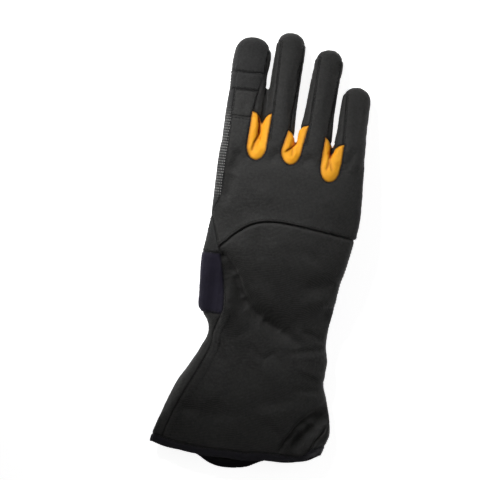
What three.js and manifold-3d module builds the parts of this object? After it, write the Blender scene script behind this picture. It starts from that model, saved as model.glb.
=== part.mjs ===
// A right-hand gardening glove with a long gauntlet cuff, lying palm down with its thumb folded under the palm.
// Units are millimetres. +Y runs from the hem to the fingertips, +X towards the little finger and +Z up.
// The wrist is at y = 0 and the floor at z = 0. The glove is a hollow skin about a middle surface, which
// drops from the palm, held up by the thumb under it, to the fingertips and the cuff on the floor.
// The seams part that skin: each piece has an outline seen from above, on the back or on the palm's side.
import * as THREE from "three";
import { mergeVertices } from "three/addons/utils/BufferGeometryUtils.js";
import Module from "manifold-3d";

const wasm = await Module();
wasm.setup();

// Driving dimensions
const palmLength = 150;
const cuffLength = 93;
const wristWidth = 89.5;
const hemWidth = 133;
const palmDepth = 24;
const wristDepth = 23;
const hemDepth = 23;
const fabric = 2;
const seamGap = 0.3;
const fingerDepth = 19;
const indexLength = 76.3;
const middleLength = 83.5;
const ringLength = 75;
const littleLength = 49.4;
const indexWidth = 28.4;
const indexTipWidth = 28.6;
const middleWidth = 25;
const middleTipWidth = 22.6;
const ringWidth = 26;
const ringTipWidth = 22;
const littleWidth = 25;
const littleTipWidth = 22.4;
const crotchGap = 1.9;
const handMargin = 1.45;
const thumbLength = 75;
const thumbWidth = 28;
const thumbDepth = 13;
const thumbClearance = 1.4;
const patchThickness = 1.2;
const bindingHeight = 6;
const bindingThickness = 3.6;
const gussetWidth = 15;
const gussetLength = 36;
const palmGussetWidth = 11;
const palmGussetLength = 17;
const capLength = 27.5;
const palmCapLength = 38;
const bandLength = 13.5;
const elasticLength = 46;
const heelBandWidth = 14.5;
const heelPoint = 6;
const hemRise = 11;
const hemCurl = 4;
const hemBow = 2.3;
const hemSag = 7.4;
const wristRise = 2;
const thumbSeamSlant = 9;
const pressedIn = 1;
const handWidth = indexWidth + middleWidth + ringWidth + littleWidth + 3 * crotchGap + 2 * handMargin;

// Facets
const cuffRings = 10;
const backPoints = 18;
const palmPoints = 12;
const fingerSides = 12;
const facetTolerance = 0.2;
const sliver = 0.01;
const overlap = 0.05;
const pastTip = 1.1;
const pastSide = 0.56;
const clearOfSide = 1.5;
const farAway = 2 * (cuffLength + palmLength + middleLength);

// Small helpers
const lerp = (a, b, t) => a + (b - a) * t;
const clamp = (v, low, high) => Math.min(high, Math.max(low, v));
const smoothstep = (low, high, v) => {
  const t = clamp((v - low) / (high - low), 0, 1);
  return t * t * (3 - 2 * t);
};

// The value of one column of a table, on a smooth curve through its rows.
function column(table, key, at, name) {
  const last = table.length - 1;
  const place = clamp(at, table[0][key], table[last][key]);
  const i = clamp(table.findIndex((row) => row[key] >= place) - 1, 0, last - 1);
  const slope = (j) => {
    const [a, b] = [table[Math.max(0, j - 1)], table[Math.min(last, j + 1)]];
    return (b[name] - a[name]) / (b[key] - a[key]);
  };
  const [a, b] = [table[i], table[i + 1]];
  const span = b[key] - a[key];
  const t = (place - a[key]) / span;
  const ease = t * t * (3 - 2 * t);
  const bend = t * (1 - t) * span * ((1 - t) * slope(i) - t * slope(i + 1));
  return lerp(a[name], b[name], ease) + bend;
}

// The fingers stand side by side on the knuckles. Lean is how far a tip leans to the right, as a share of the
// finger's width, start is how far its crotch lies along the palm, and apart is the gap to the next finger as
// a share of the usual one.
const fingers = {
  index: { length: indexLength, width: indexWidth, tipWidth: indexTipWidth },
  middle: { length: middleLength, width: middleWidth, tipWidth: middleTipWidth },
  ring: { length: ringLength, width: ringWidth, tipWidth: ringTipWidth },
  little: { length: littleLength, width: littleWidth, tipWidth: littleTipWidth },
};
const fingerPlaces = {
  index: { lean: 0.04, start: 1, apart: 0.5 },
  middle: { lean: 0.077, start: 1, apart: 1.45 },
  ring: { lean: 0.156, start: 0.995, apart: 1.05 },
  little: { lean: 0.027, start: 0.99, apart: 0 },
};
for (const name of Object.keys(fingers)) Object.assign(fingers[name], fingerPlaces[name]);
const knuckleCentre = 0.047 * handWidth;
const fingerList = Object.values(fingers);
fingerList.reduce((edge, finger) => {
  finger.rootX = edge + finger.width / 2;
  finger.tipX = finger.rootX + finger.lean * finger.width;
  return edge + finger.width + finger.apart * crotchGap;
}, knuckleCentre - handWidth / 2 + handMargin);

// The shaft that all four fingers share, along their length from the crotch.
const fingerShaft = [
  { along: -0.62, taper: 0, round: 0.6, depth: 0.3 },
  { along: -0.36, taper: 0, round: 0.86, depth: 0.78 },
  { along: -0.12, taper: 0, round: 0.97, depth: 1 },
  { along: 0.1, taper: 0.2, round: 1, depth: 1.02 },
  { along: 0.34, taper: 0.8, round: 1, depth: 1 },
  { along: 0.6, taper: 1, round: 1, depth: 0.98 },
];

// The rounded end of a finger or thumb: back is the distance from its tip, as a share of its width.
const roundedEnd = [
  { back: 0.6, round: 1, depth: 0.94 },
  { back: 0.34, round: 0.93, depth: 0.86 },
  { back: 0.15, round: 0.75, depth: 0.68 },
  { back: 0.04, round: 0.42, depth: 0.4 },
];

// The hand and the cuff. Above the wrist, fill goes from the wrist's width to the hand's and at is a
// share of the palm's length. Below it, fill goes on to the hem's width and at is a share of the cuff's.
const palmSections = [
  { at: 0.0, fill: 0.0, centre: 0.026, up: 1.0, down: 1.0 },
  { at: 0.045, fill: 0.09, centre: 0.021, up: 1.0, down: 1.0 },
  { at: 0.089, fill: 0.32, centre: 0.004, up: 1.02, down: 1.0 },
  { at: 0.117, fill: 0.5, centre: -0.008, up: 1.03, down: 1.0 },
  { at: 0.2, fill: 0.6, centre: -0.005, up: 1.05, down: 1.0 },
  { at: 0.3, fill: 0.72, centre: -0.002, up: 1.08, down: 1.0 },
  { at: 0.413, fill: 0.84, centre: 0.012, up: 1.1, down: 1.0 },
  { at: 0.533, fill: 0.92, centre: 0.035, up: 1.1, down: 1.0 },
  { at: 0.62, fill: 1.0, centre: 0.049, up: 1.08, down: 1.0 },
  { at: 0.72, fill: 1.0, centre: 0.05, up: 1.03, down: 0.98 },
  { at: 0.81, fill: 0.99, centre: 0.048, up: 0.93, down: 0.91 },
  { at: 0.88, fill: 0.97, centre: 0.046, up: 0.79, down: 0.78 },
  { at: 0.94, fill: 0.93, centre: 0.045, up: 0.58, down: 0.58 },
  { at: 0.985, fill: 0.86, centre: 0.045, up: 0.3, down: 0.3 },
];
const cuffSections = [
  { at: 0.0, fill: 0.0, centre: 0.022, up: 1.0, down: 1.0 },
  { at: 0.065, fill: 0.05, centre: 0.0226, up: 1.01, down: 1.0 },
  { at: 0.129, fill: 0.154, centre: 0.017, up: 1.03, down: 1.0 },
  { at: 0.196, fill: 0.228, centre: 0.005, up: 1.05, down: 1.0 },
  { at: 0.264, fill: 0.283, centre: -0.009, up: 1.08, down: 1.0 },
  { at: 0.33, fill: 0.354, centre: -0.021, up: 1.1, down: 1.0 },
  { at: 0.436, fill: 0.568, centre: -0.027, up: 1.13, down: 1.0 },
  { at: 0.58, fill: 0.798, centre: -0.032, up: 1.14, down: 1.0 },
  { at: 0.727, fill: 0.947, centre: -0.045, up: 1.1, down: 1.0 },
  { at: 0.855, fill: 0.99, centre: -0.06, up: 1.05, down: 1.0 },
  { at: 1.0, fill: 0.93, centre: -0.082, up: 1.0, down: 1.0 },
];

// Folds of the cuff's back. A fold runs from one point to another, x as a share of the hem's width and
// y as a share of the cuff's length, both from the middle of the wrist; rise is a share of the hem's depth.
const folds = [
  { x1: -0.27, y1: 0.58, x2: -0.1, y2: 0.22, half: 0.055, rise: -0.16 },
  { x1: -0.1, y1: 0.22, x2: 0.17, y2: 0.02, half: 0.06, rise: -0.15 },
  { x1: -0.235, y1: 0.36, x2: -0.22, y2: 0.02, half: 0.04, rise: 0.12 },
  { x1: 0.44, y1: -0.5, x2: 0.24, y2: -0.9, half: 0.05, rise: -0.26 },
  { x1: 0.35, y1: -0.74, x2: 0.36, y2: -0.98, half: 0.045, rise: 0.14 },
  { x1: -0.36, y1: -0.2, x2: -0.5, y2: -0.8, half: 0.05, rise: 0.1 },
  { x1: 0.3, y1: 0.25, x2: 0.42, y2: 0.2, half: 0.07, rise: -0.12 },
  { x1: -0.3, y1: -0.66, x2: -0.2, y2: -0.72, half: 0.07, rise: -0.1 },
];

// Where the seams of a finger run, as shares of its half width, on the back and on the palm's side.
const sideSeams = {
  index: [
    { along: -0.3, backRight: 0.4, palmRight: 0.6 },
    { along: 0.1, backRight: 0.45, palmRight: 0.66 },
    { along: 0.28, backRight: 0.5, palmRight: 0.68 },
    { along: 0.5, backRight: 0.64, palmRight: 0.7 },
    { along: 0.65, backRight: 0.78, palmRight: 0.73 },
    { along: 1.1, backRight: 0.88, palmRight: 0.76 },
  ],
  other: [
    { along: -0.3, backLeft: -0.4, backRight: 0.62, palmLeft: -0.86, palmRight: 0.56 },
    { along: 0.1, backLeft: -0.48, backRight: 0.74, palmLeft: -0.86, palmRight: 0.62 },
    { along: 0.5, backLeft: -0.6, backRight: 0.86, palmLeft: -0.86, palmRight: 0.68 },
    { along: 1.1, backLeft: -0.72, backRight: 0.86, palmLeft: -0.86, palmRight: 0.74 },
  ],
};
const sideSeamEnd = 0.9;

// The seam that parts the back from what wraps round from the palm: x as a share of the hand's width.
const wrapSeam = [
  { x: -0.296, at: 0.17 },
  { x: -0.315, at: 0.28 },
  { x: -0.352, at: 0.385 },
  { x: -0.372, at: 0.43 },
  { x: -0.44, at: 0.59 },
  { x: -0.412, at: 0.67 },
  { x: -0.397, at: 0.78 },
  { x: -0.391, at: 0.92 },
];
const indexWrapSeam = -0.66;

// The cuff's side seam below the wrist: x as a share of the hem's width, at as a share of the cuff's length.
const cuffSeam = [
  { x: -0.245, at: -0.19 },
  { x: -0.288, at: 0.0 },
  { x: -0.291, at: 0.1 },
  { x: -0.34, at: 0.29 },
  { x: -0.403, at: 0.49 },
  { x: -0.486, at: 0.76 },
  { x: -0.52, at: 0.92 },
  { x: -0.56, at: 1.3 },
];

// The arched lower edge of the back panel, from the thumb's side to the little finger's.
const archSeam = [
  { x: -0.6, at: 0.3 },
  { x: -0.372, at: 0.43 },
  { x: -0.278, at: 0.502 },
  { x: -0.185, at: 0.553 },
  { x: -0.088, at: 0.579 },
  { x: 0.014, at: 0.585 },
  { x: 0.14, at: 0.578 },
  { x: 0.3, at: 0.565 },
  { x: 0.7, at: 0.53 },
];

// The upper edge of the heel band on the palm's side: x as a share of the hand's width, and rise as a share
// of the band's width above the elastic.
const heelSeam = [
  { x: -0.7, rise: 1.48 },
  { x: -0.42, rise: 1.17 },
  { x: -0.2, rise: 0.96 },
  { x: 0.1, rise: 0.96 },
  { x: 0.35, rise: 1.06 },
  { x: 0.7, rise: 1.27 },
];
const elasticSlope = 0.25;
const heelCorner = { x: -0.44, at: 0.59 };

// The seam on the palm's side between the palm and the panel that runs down to the thumb.
const thumbSideSeam = [
  { x: -0.425, at: 1.3 },
  { x: -0.41, at: 1.1 },
  { x: -0.39, at: 0.98 },
  { x: -0.355, at: 0.88 },
  { x: -0.3, at: 0.735 },
  { x: -0.23, at: 0.657 },
  { x: -0.12, at: 0.6 },
  { x: -0.1, at: 0.4 },
];

// The reinforcement on the palm, with an arch under each finger: shares of the hand's width and the palm's length.
const palmPatch = [
  { x: -0.335, at: 0.93 },
  { x: -0.315, at: 0.84 },
  { x: -0.265, at: 0.735 },
  { x: -0.18, at: 0.69 },
  { x: 0.05, at: 0.68 },
  { x: 0.3, at: 0.685 },
  { x: 0.43, at: 0.715 },
  { x: 0.485, at: 0.79 },
  { x: 0.485, at: 0.9 },
  { x: 0.45, at: 0.955 },
  { x: 0.38, at: 0.95 },
  { x: 0.3, at: 0.885 },
  { x: 0.24, at: 0.95 },
  { x: 0.18, at: 0.975 },
  { x: 0.12, at: 0.955 },
  { x: 0.055, at: 0.885 },
  { x: 0.0, at: 0.955 },
  { x: -0.07, at: 0.985 },
  { x: -0.135, at: 0.955 },
  { x: -0.19, at: 0.885 },
  { x: -0.24, at: 0.955 },
  { x: -0.3, at: 0.965 },
];

// How each gusset sits between its two fingers: foot is how far it reaches below the crotch, and leftRise
// and rightRise how far its arms climb beside the fingers, as shares of its length. Lean and open are how
// far its foot and its arms stand to the right of the crotch, as shares of its width.
const gussets = [
  { between: ["index", "middle"], foot: 0.47, lean: -0.13, open: -0.06, leftRise: 0.55, rightRise: 0.55 },
  { between: ["middle", "ring"], foot: 0.46, lean: -0.15, open: 0.08, leftRise: 0.26, rightRise: 0.41 },
  { between: ["ring", "little"], foot: 0.71, lean: 0.02, open: 0.09, leftRise: 0.22, rightRise: 0.12 },
];
const gussetEdge = [
  { across: -1, rise: 1 },
  { across: -0.86, rise: 0.5 },
  { across: -0.5, rise: 0.13 },
  { across: 0, rise: 0 },
  { across: 0.5, rise: 0.13 },
  { across: 0.86, rise: 0.5 },
  { across: 1, rise: 1 },
];

// The rounded top of a gusset's arm, from its outer corner to the slit between the arms: inward as a share
// of the way, drop as a share of the gusset's length.
const gussetArm = [
  { inward: 0, drop: 0 },
  { inward: 0.45, drop: 0.03 },
  { inward: 0.8, drop: 0.09 },
  { inward: 1, drop: 0.16 },
];
const slitHalf = 0.07;
const slitDepth = 0.24;

// Heights of rest
const palmRest = thumbDepth + thumbClearance + patchThickness + seamGap + palmDepth / 2 - pressedIn / 2;
const wristRest = wristDepth / 2 + wristRise;
const hemRest = hemDepth / 2;
const fingerRest = fingerDepth / 2 - pressedIn / 2;
const xOf = (share) => share * handWidth;
const fingerX = (finger, along) => lerp(finger.rootX, finger.tipX, along);
const crotchY = (finger) => finger.start * palmLength;

// The height of the glove's middle surface above the floor, at any point of the flat pattern.
function restHeight(x, y) {
  const cuffEnd = lerp(hemRest, wristRest, smoothstep(-0.5 * cuffLength, 0, y));
  const palmEnd = lerp(cuffEnd, palmRest, smoothstep(-0.1 * palmLength, 0.5 * palmLength, y));
  const start = 0.8 * palmLength;
  const tips = fingerList.map((f) => ({ x: f.tipX, flat: crotchY(f) + 0.84 * f.length }));
  const droop = clamp((y - start) / (column(tips, "x", x, "flat") - start), 0, 1);
  return lerp(palmEnd, fingerRest, droop * droop * (1.9 - 0.9 * droop));
}

// How the hem strays from a straight line: it rises at both corners and bows out a little between them.
function hemLift(x, y) {
  const right = smoothstep(0.2 * hemWidth, 0.46 * hemWidth, x);
  const left = smoothstep(0.36 * hemWidth, 0.59 * hemWidth, -x);
  const away = (x + 0.16 * hemWidth) / (0.22 * hemWidth);
  const rise = hemRise * right * right + hemCurl * left * left - hemBow * Math.exp(-away * away);
  return rise * smoothstep(0.6 * cuffLength, cuffLength, -y);
}

// How far the palm's side of the hem hangs out below the back's.
function hemDrop(x, y) {
  const away = (x + 0.11 * hemWidth) / (0.165 * hemWidth);
  return hemSag * Math.exp(-away * away * away * away) * smoothstep(0.6 * cuffLength, cuffLength, -y);
}

// Solids from rings of points, with flat ends or a point at the far one.
function asSolid(geometry) {
  const bare = geometry.clone().deleteAttribute("normal").deleteAttribute("uv");
  const merged = mergeVertices(bare, 1e-4);
  return new wasm.Manifold(
    new wasm.Mesh({
      numProp: 3,
      vertProperties: merged.attributes.position.array,
      triVerts: new Uint32Array(merged.index.array),
    }),
  );
}

function solidFrom(positions, triangles) {
  const geometry = new THREE.BufferGeometry();
  geometry.setAttribute("position", new THREE.Float32BufferAttribute(positions.flat(), 3));
  geometry.setIndex(triangles.flat());
  return asSolid(geometry);
}

function centreOf(ring) {
  return [0, 1, 2].map((axis) => ring.reduce((sum, p) => sum + p[axis], 0) / ring.length);
}

function loft(rings, tip = null) {
  const sides = rings[0].length;
  const positions = rings.flat();
  const triangles = [];
  for (let r = 0; r + 1 < rings.length; r++) {
    for (let i = 0; i < sides; i++) {
      const [a, b] = [r * sides + i, r * sides + ((i + 1) % sides)];
      triangles.push([a, b, b + sides], [a, b + sides, a + sides]);
    }
  }
  const last = (rings.length - 1) * sides;
  const start = positions.push(centreOf(rings[0])) - 1;
  const end = positions.push(tip ?? centreOf(rings[rings.length - 1])) - 1;
  for (let i = 0; i < sides; i++) {
    const j = (i + 1) % sides;
    triangles.push([start, j, i], [end, last + i, last + j]);
  }
  const made = solidFrom(positions, triangles);
  return made.volume() > 0 ? made : solidFrom(positions, triangles.map(([a, b, c]) => [a, c, b]));
}

// The points of a rounded section: up and down are its half heights, and square makes its corners fuller.
function sectionPoints(angles, half, up, down, square) {
  const power = (v) => Math.sign(v) * Math.abs(v) ** (2 / square);
  const widest = Math.max(...angles.map((turn) => power(Math.cos(turn))));
  return angles.map((turn) => [
    (half * power(Math.cos(turn))) / widest,
    (turn < Math.PI ? up : down) * power(Math.sin(turn)),
  ]);
}
const turns = (count) => Array.from({ length: count }, (_, i) => ((i + 0.5) / count) * 2 * Math.PI);

// The hand's points are spread along its back and its palm rather than round its narrow sides.
function handTurns() {
  const half = (count) =>
    Array.from({ length: count }, (_, i) => {
      const share = (i + 0.5) / count;
      return lerp(Math.PI * share, Math.acos(1 - 2 * share), 0.55);
    });
  return [...half(backPoints), ...half(palmPoints).map((turn) => Math.PI + turn)];
}

// No skin goes below the floor: the cloth is flattened where it rests.
const onFloor = (z, offset) => Math.max(z, -Math.min(0, offset));

// How far the folds move the back of the cuff at a point.
function foldHeight(x, y) {
  let height = 0;
  for (const f of folds) {
    const [ax, ay] = [f.x1 * hemWidth, f.y1 * cuffLength];
    const [bx, by] = [f.x2 * hemWidth, f.y2 * cuffLength];
    const [dx, dy] = [bx - ax, by - ay];
    const t = clamp(((x - ax) * dx + (y - ay) * dy) / (dx * dx + dy * dy), 0, 1);
    const away = Math.hypot(x - ax - t * dx, y - ay - t * dy) / (f.half * hemWidth);
    height += f.rise * hemDepth * Math.exp(-away * away) * Math.min(1, 4 * t * (1 - t) + 0.35);
  }
  return height;
}

// The sections of the hand and cuff, from the hem to the knuckles.
function section(table, at, y, wide, depth) {
  const value = (name) => column(table, "at", at, name);
  return {
    y,
    width: lerp(wristWidth, wide, value("fill")),
    centre: value("centre") * wide,
    up: (value("up") * depth) / 2,
    down: (value("down") * depth) / 2,
  };
}
function bodySections() {
  const cuff = Array.from({ length: cuffRings }, (_, i) => {
    const at = 1 - i / cuffRings;
    return section(cuffSections, at, -at * cuffLength, hemWidth, lerp(wristDepth, hemDepth, at));
  });
  const palm = palmSections.map(({ at }) => {
    const depth = lerp(wristDepth, palmDepth, clamp(at * 3, 0, 1));
    return section(palmSections, at, at * palmLength, handWidth, depth);
  });
  return [...cuff, ...palm];
}

function bodyRing({ y, width, centre, up, down }, offset) {
  const pressed = y < 0 ? pressedIn : 0;
  const outline = sectionPoints(handTurns(), width / 2 + offset, up + offset, down + pressed + offset, 2.5);
  return outline.map(([dx, dz]) => {
    const x = centre + dx;
    const fold = smoothstep(0, 0.6 * up, dz) * foldHeight(x, y);
    const hem = hemLift(x, y) - (dz < 0 ? hemDrop(x, y) : 0);
    return [x, y + hem, onFloor(restHeight(x, y) + dz + fold, offset)];
  });
}

function bodySolid(offset, stretch = 0) {
  const sections = bodySections();
  const rings = sections.map((one) => bodyRing(one, offset));
  const knuckles = sections[sections.length - 1];
  if (stretch) rings.unshift(rings[0].map(([x, y, z]) => [x, y - stretch, z]));
  const end = 1.005 * palmLength;
  return loft(rings, [knuckles.centre, end + offset, restHeight(knuckles.centre, end)]);
}

// A tube along +Y through rows of x, y, half width and half height, with the rounded end put on. In each
// row z is a function that gives the height of the tube's middle.
function tube(rows, tip, offset) {
  const end = roundedEnd.map(({ back, round, depth }) => ({
    x: tip.x,
    y: tip.y - 2 * back * tip.half + offset * (1 - back / roundedEnd[0].back),
    z: tip.z,
    half: tip.half * round,
    high: tip.high * depth,
  }));
  const rings = [...rows, ...end].map(({ x, y, z, half, high }) =>
    sectionPoints(turns(fingerSides), half + offset, high + offset, high + offset, 2.25).map(([dx, dz]) => [
      x + dx,
      y,
      onFloor(z(x + dx, y) + dz, offset),
    ]),
  );
  return loft(rings, [tip.x, tip.y + offset, onFloor(tip.z(tip.x, tip.y), offset)]);
}

const halfWidth = (finger, along) =>
  lerp(finger.width, finger.tipWidth, column(fingerShaft, "along", along, "taper")) / 2;

function fingerSolid(finger, offset) {
  const rows = fingerShaft.map(({ along, round, depth }) => ({
    x: fingerX(finger, along),
    y: crotchY(finger) + along * finger.length,
    z: restHeight,
    half: halfWidth(finger, along) * round,
    high: (fingerDepth / 2) * depth,
  }));
  const tip = {
    x: finger.tipX,
    y: crotchY(finger) + finger.length,
    z: restHeight,
    half: finger.tipWidth / 2,
    high: fingerDepth / 2,
  };
  return tube(rows, tip, offset);
}

// The thumb leaves the palm on its underside and lies under it: x as a share of the hand's width, along as
// a share of the thumb's own length, drop as a share of the way from the palm's middle down to the floor.
const thumbStart = 0.43;
const thumbShaft = [
  { along: 0.0, x: -0.31, drop: 0.12, round: 0.8 },
  { along: 0.13, x: -0.3, drop: 0.36, round: 0.95 },
  { along: 0.27, x: -0.28, drop: 0.68, round: 1 },
  { along: 0.4, x: -0.255, drop: 0.93, round: 1 },
  { along: 0.54, x: -0.225, drop: 1.0, round: 1 },
  { along: 0.7, x: -0.19, drop: 1.0, round: 1 },
];
const thumbTipX = xOf(-0.165);
const thumbOnFloor = thumbDepth / 2 - pressedIn / 2;
const thumbY = (along) => thumbStart * palmLength + along * thumbLength;
const thumbZ = (x, y, drop) => lerp(restHeight(x, y), thumbOnFloor, drop);

function thumbSolid(offset) {
  const rows = thumbShaft.map(({ along, x, drop, round }) => ({
    x: xOf(x),
    y: thumbY(along),
    z: () => thumbZ(xOf(x), thumbY(along), drop),
    half: (thumbWidth / 2) * round,
    high: thumbDepth / 2,
  }));
  const tip = {
    x: thumbTipX,
    y: thumbY(1),
    z: () => thumbOnFloor,
    half: thumbWidth / 2,
    high: thumbDepth / 2,
  };
  return tube(rows, tip, offset);
}

// The whole skin, moved out by an offset or in by a negative one.
function skin(offset, stretch = 0) {
  let made = bodySolid(offset, stretch);
  for (const finger of fingerList) made = made.add(fingerSolid(finger, offset));
  return made;
}

// Upright cutters from an outline in the pattern's plane
function grownOutline(points, grow) {
  const area = THREE.ShapeUtils.area(points);
  const side = area > 0 ? grow : -grow;
  return points.map((p, i) => {
    const before = points[(i + points.length - 1) % points.length];
    const after = points[(i + 1) % points.length];
    const a = new THREE.Vector2().subVectors(p, before).normalize();
    const b = new THREE.Vector2().subVectors(after, p).normalize();
    const out = new THREE.Vector2(a.y + b.y, -(a.x + b.x)).normalize();
    const stretch = 1 / Math.max(0.4, out.x * a.y - out.y * a.x);
    return p.clone().addScaledVector(out, side * stretch);
  });
}

function cutter(outline, grow = 0) {
  const points = outline.map(([x, y]) => new THREE.Vector2(x, y));
  const shape = new THREE.Shape(grow ? grownOutline(points, grow) : points);
  const geometry = new THREE.ExtrudeGeometry(shape, { depth: 2 * farAway, bevelEnabled: false });
  geometry.translate(0, 0, -farAway);
  return asSolid(geometry);
}

// Everything on one side of the glove's middle surface: side is 1 for the back's and -1 for the palm's.
function halfSpace(side, grow) {
  const xs = [-farAway, ...fingerList.map((f) => f.tipX), farAway];
  const fromHem = Array.from({ length: 22 }, (_, i) => lerp(-cuffLength, middleLength + palmLength, i / 21));
  const ys = [-farAway, ...fromHem, farAway];
  const positions = [];
  for (const high of [false, true]) {
    for (const y of ys) {
      for (const x of xs) {
        const onSurface = high === side < 0;
        positions.push([x, y, onSurface ? restHeight(x, y) - side * grow : side * farAway]);
      }
    }
  }
  const count = xs.length * ys.length;
  const at = (i, j, high) => (high ? count : 0) + j * xs.length + i;
  const triangles = [];
  const quad = (a, b, c, d) => triangles.push([a, b, c], [a, c, d]);
  const [lastX, lastY] = [xs.length - 1, ys.length - 1];
  for (let j = 0; j < lastY; j++) {
    for (let i = 0; i < lastX; i++) {
      quad(at(i, j, true), at(i + 1, j, true), at(i + 1, j + 1, true), at(i, j + 1, true));
      triangles.push([at(i, j, false), at(i + 1, j + 1, false), at(i + 1, j, false)]);
      triangles.push([at(i, j, false), at(i, j + 1, false), at(i + 1, j + 1, false)]);
    }
    quad(at(0, j, false), at(0, j, true), at(0, j + 1, true), at(0, j + 1, false));
    quad(at(lastX, j, true), at(lastX, j, false), at(lastX, j + 1, false), at(lastX, j + 1, true));
  }
  for (let i = 0; i < lastX; i++) {
    quad(at(i, 0, true), at(i, 0, false), at(i + 1, 0, false), at(i + 1, 0, true));
    quad(at(i, lastY, false), at(i, lastY, true), at(i + 1, lastY, true), at(i + 1, lastY, false));
  }
  return solidFrom(positions, triangles);
}
const above = (outline, grow = 0) => cutter(outline, grow).intersect(halfSpace(1, grow));
const below = (outline, grow = 0, rise = grow) => cutter(outline, grow).intersect(halfSpace(-1, rise));

// A cutter whose upper half follows one outline and whose lower half follows another. The halves run a little
// way into each other, so that a piece goes round the glove's side unbroken.
const around = (top, under, grow = 0) => above(top, grow).add(below(under, grow, grow + overlap));

// A cutter from an outline in the plane of y and z, running across the whole glove.
function sidewaysCutter(outline, grow = 0) {
  const points = outline.map(([y, z]) => new THREE.Vector2(y, z));
  const shape = new THREE.Shape(grow ? grownOutline(points, grow) : points);
  const geometry = new THREE.ExtrudeGeometry(shape, { depth: 2 * farAway, bevelEnabled: false });
  const place = new THREE.Matrix4().makeBasis(
    new THREE.Vector3(0, 1, 0),
    new THREE.Vector3(0, 0, 1),
    new THREE.Vector3(1, 0, 0),
  );
  geometry.applyMatrix4(place).translate(-farAway, 0, 0);
  return asSolid(geometry);
}

const largest = (solid) =>
  solid.decompose().reduce((best, part) => (part.volume() > best.volume() ? part : best));
const minus = (solid, ...others) => others.reduce((left, other) => left.subtract(other), solid);
const joined = (solids) => solids.reduce((all, one) => all.add(one));

// Seam lines in millimetres
const handPoint = ({ x, at }) => [xOf(x), at * palmLength];
const cuffPoint = ({ x, at }) => [x * hemWidth, -at * cuffLength];
const wrapLine = [...cuffSeam.map(cuffPoint).reverse(), ...wrapSeam.map(handPoint)];
const archLine = archSeam.map(handPoint);
const elasticBottom = 0.0905 * palmLength;
const elasticTop = elasticBottom + elasticLength;
const heelLine = heelSeam.map(({ x, rise }) => [xOf(x), elasticTop + rise * heelBandWidth]);

// The strip of a finger between its left and right limit: a limit is a seam of the side strips, past whose end
// the strip widens, or a straight line at a share of the finger's half width.
function strip(finger, seams, left, right) {
  const y = (along) => crotchY(finger) + along * finger.length;
  const stations = [-0.42, -0.12, 0.1, 0.36, 0.62, sideSeamEnd];
  const edge = (limit, side) => {
    if (typeof limit === "number") {
      const x = fingerX(finger, 0) + (limit * finger.width) / 2;
      return [[x, y(stations[0])], [x, y(pastTip)]];
    }
    const line = stations.map((along) => {
      const share = column(seams, "along", along, limit);
      return [fingerX(finger, along) + halfWidth(finger, along) * share, y(along)];
    });
    const wide = fingerX(finger, 1) + side * pastSide * finger.width;
    return [...line, [wide, y(sideSeamEnd)], [wide, y(pastTip)]];
  };
  return [...edge(left, -1), ...edge(right, 1).reverse()];
}

// The part of a finger in which its side strip is cut, on one side of its middle.
function sideZone(finger, side) {
  const y = (along) => crotchY(finger) + along * finger.length;
  const wide = side * pastSide * finger.width;
  return [
    [fingerX(finger, 0), y(-0.03)],
    [fingerX(finger, 0) + wide, y(-0.03)],
    [fingerX(finger, 1) + wide, y(sideSeamEnd)],
    [fingerX(finger, 1), y(sideSeamEnd)],
  ];
}

// The outline of a gusset seen from above: a rounded foot and two arms that stop at a slant.
function gussetOutline({ between, foot, lean, open, leftRise, rightRise }, width, length) {
  const [a, b] = between.map((name) => fingers[name]);
  const crotchX = (fingerX(a, 0) + a.width / 2 + fingerX(b, 0) - b.width / 2) / 2;
  const crotch = Math.min(crotchY(a), crotchY(b));
  const half = width / 2;
  const low = crotch - foot * length;
  const high = low + 0.72 * width;
  const bottom = gussetEdge.map(({ across, rise }) => [
    crotchX + lean * width + across * half,
    lerp(low, high, rise),
  ]);
  const arm = (side, climb) => gussetArm.map(({ inward, drop }) => [
    crotchX + lerp(open + side * 0.5, side * slitHalf, inward) * width,
    crotch + (climb - drop) * length,
  ]);
  const slitEnd = crotch + (Math.min(leftRise, rightRise) - slitDepth) * length;
  return [...arm(-1, leftRise).reverse(), ...bottom, ...arm(1, rightRise), [crotchX, slitEnd]];
}

// The skin, less the band that the hem binding takes
const outside = skin(0).add(thumbSolid(0)).simplify(facetTolerance);
const inside = skin(-fabric, bindingHeight).add(thumbSolid(-fabric)).simplify(2 * facetTolerance);
const shell = minus(outside, inside);
const hemZone = (height) => {
  const across = Array.from({ length: 17 }, (_, i) => (i / 16 - 0.5) * 1.3 * hemWidth);
  const edge = (drop) => across.map((x) => [x, height - cuffLength + hemLift(x, -cuffLength) - drop(x)]);
  const corners = [[farAway, -farAway], [-farAway, -farAway]];
  const top = [...edge(() => 0), ...corners];
  return around(top, [...edge((x) => hemDrop(x, -cuffLength)), ...corners]);
};
const wholeShell = minus(shell, hemZone(bindingHeight));

// The binding clasps the raw edge, so it is thicker than the wall.
const proud = (bindingThickness - fabric) / 2;
const binding = minus(bodySolid(proud), bodySolid(-fabric - proud, bindingHeight)).intersect(
  hemZone(bindingHeight - seamGap),
);

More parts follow.
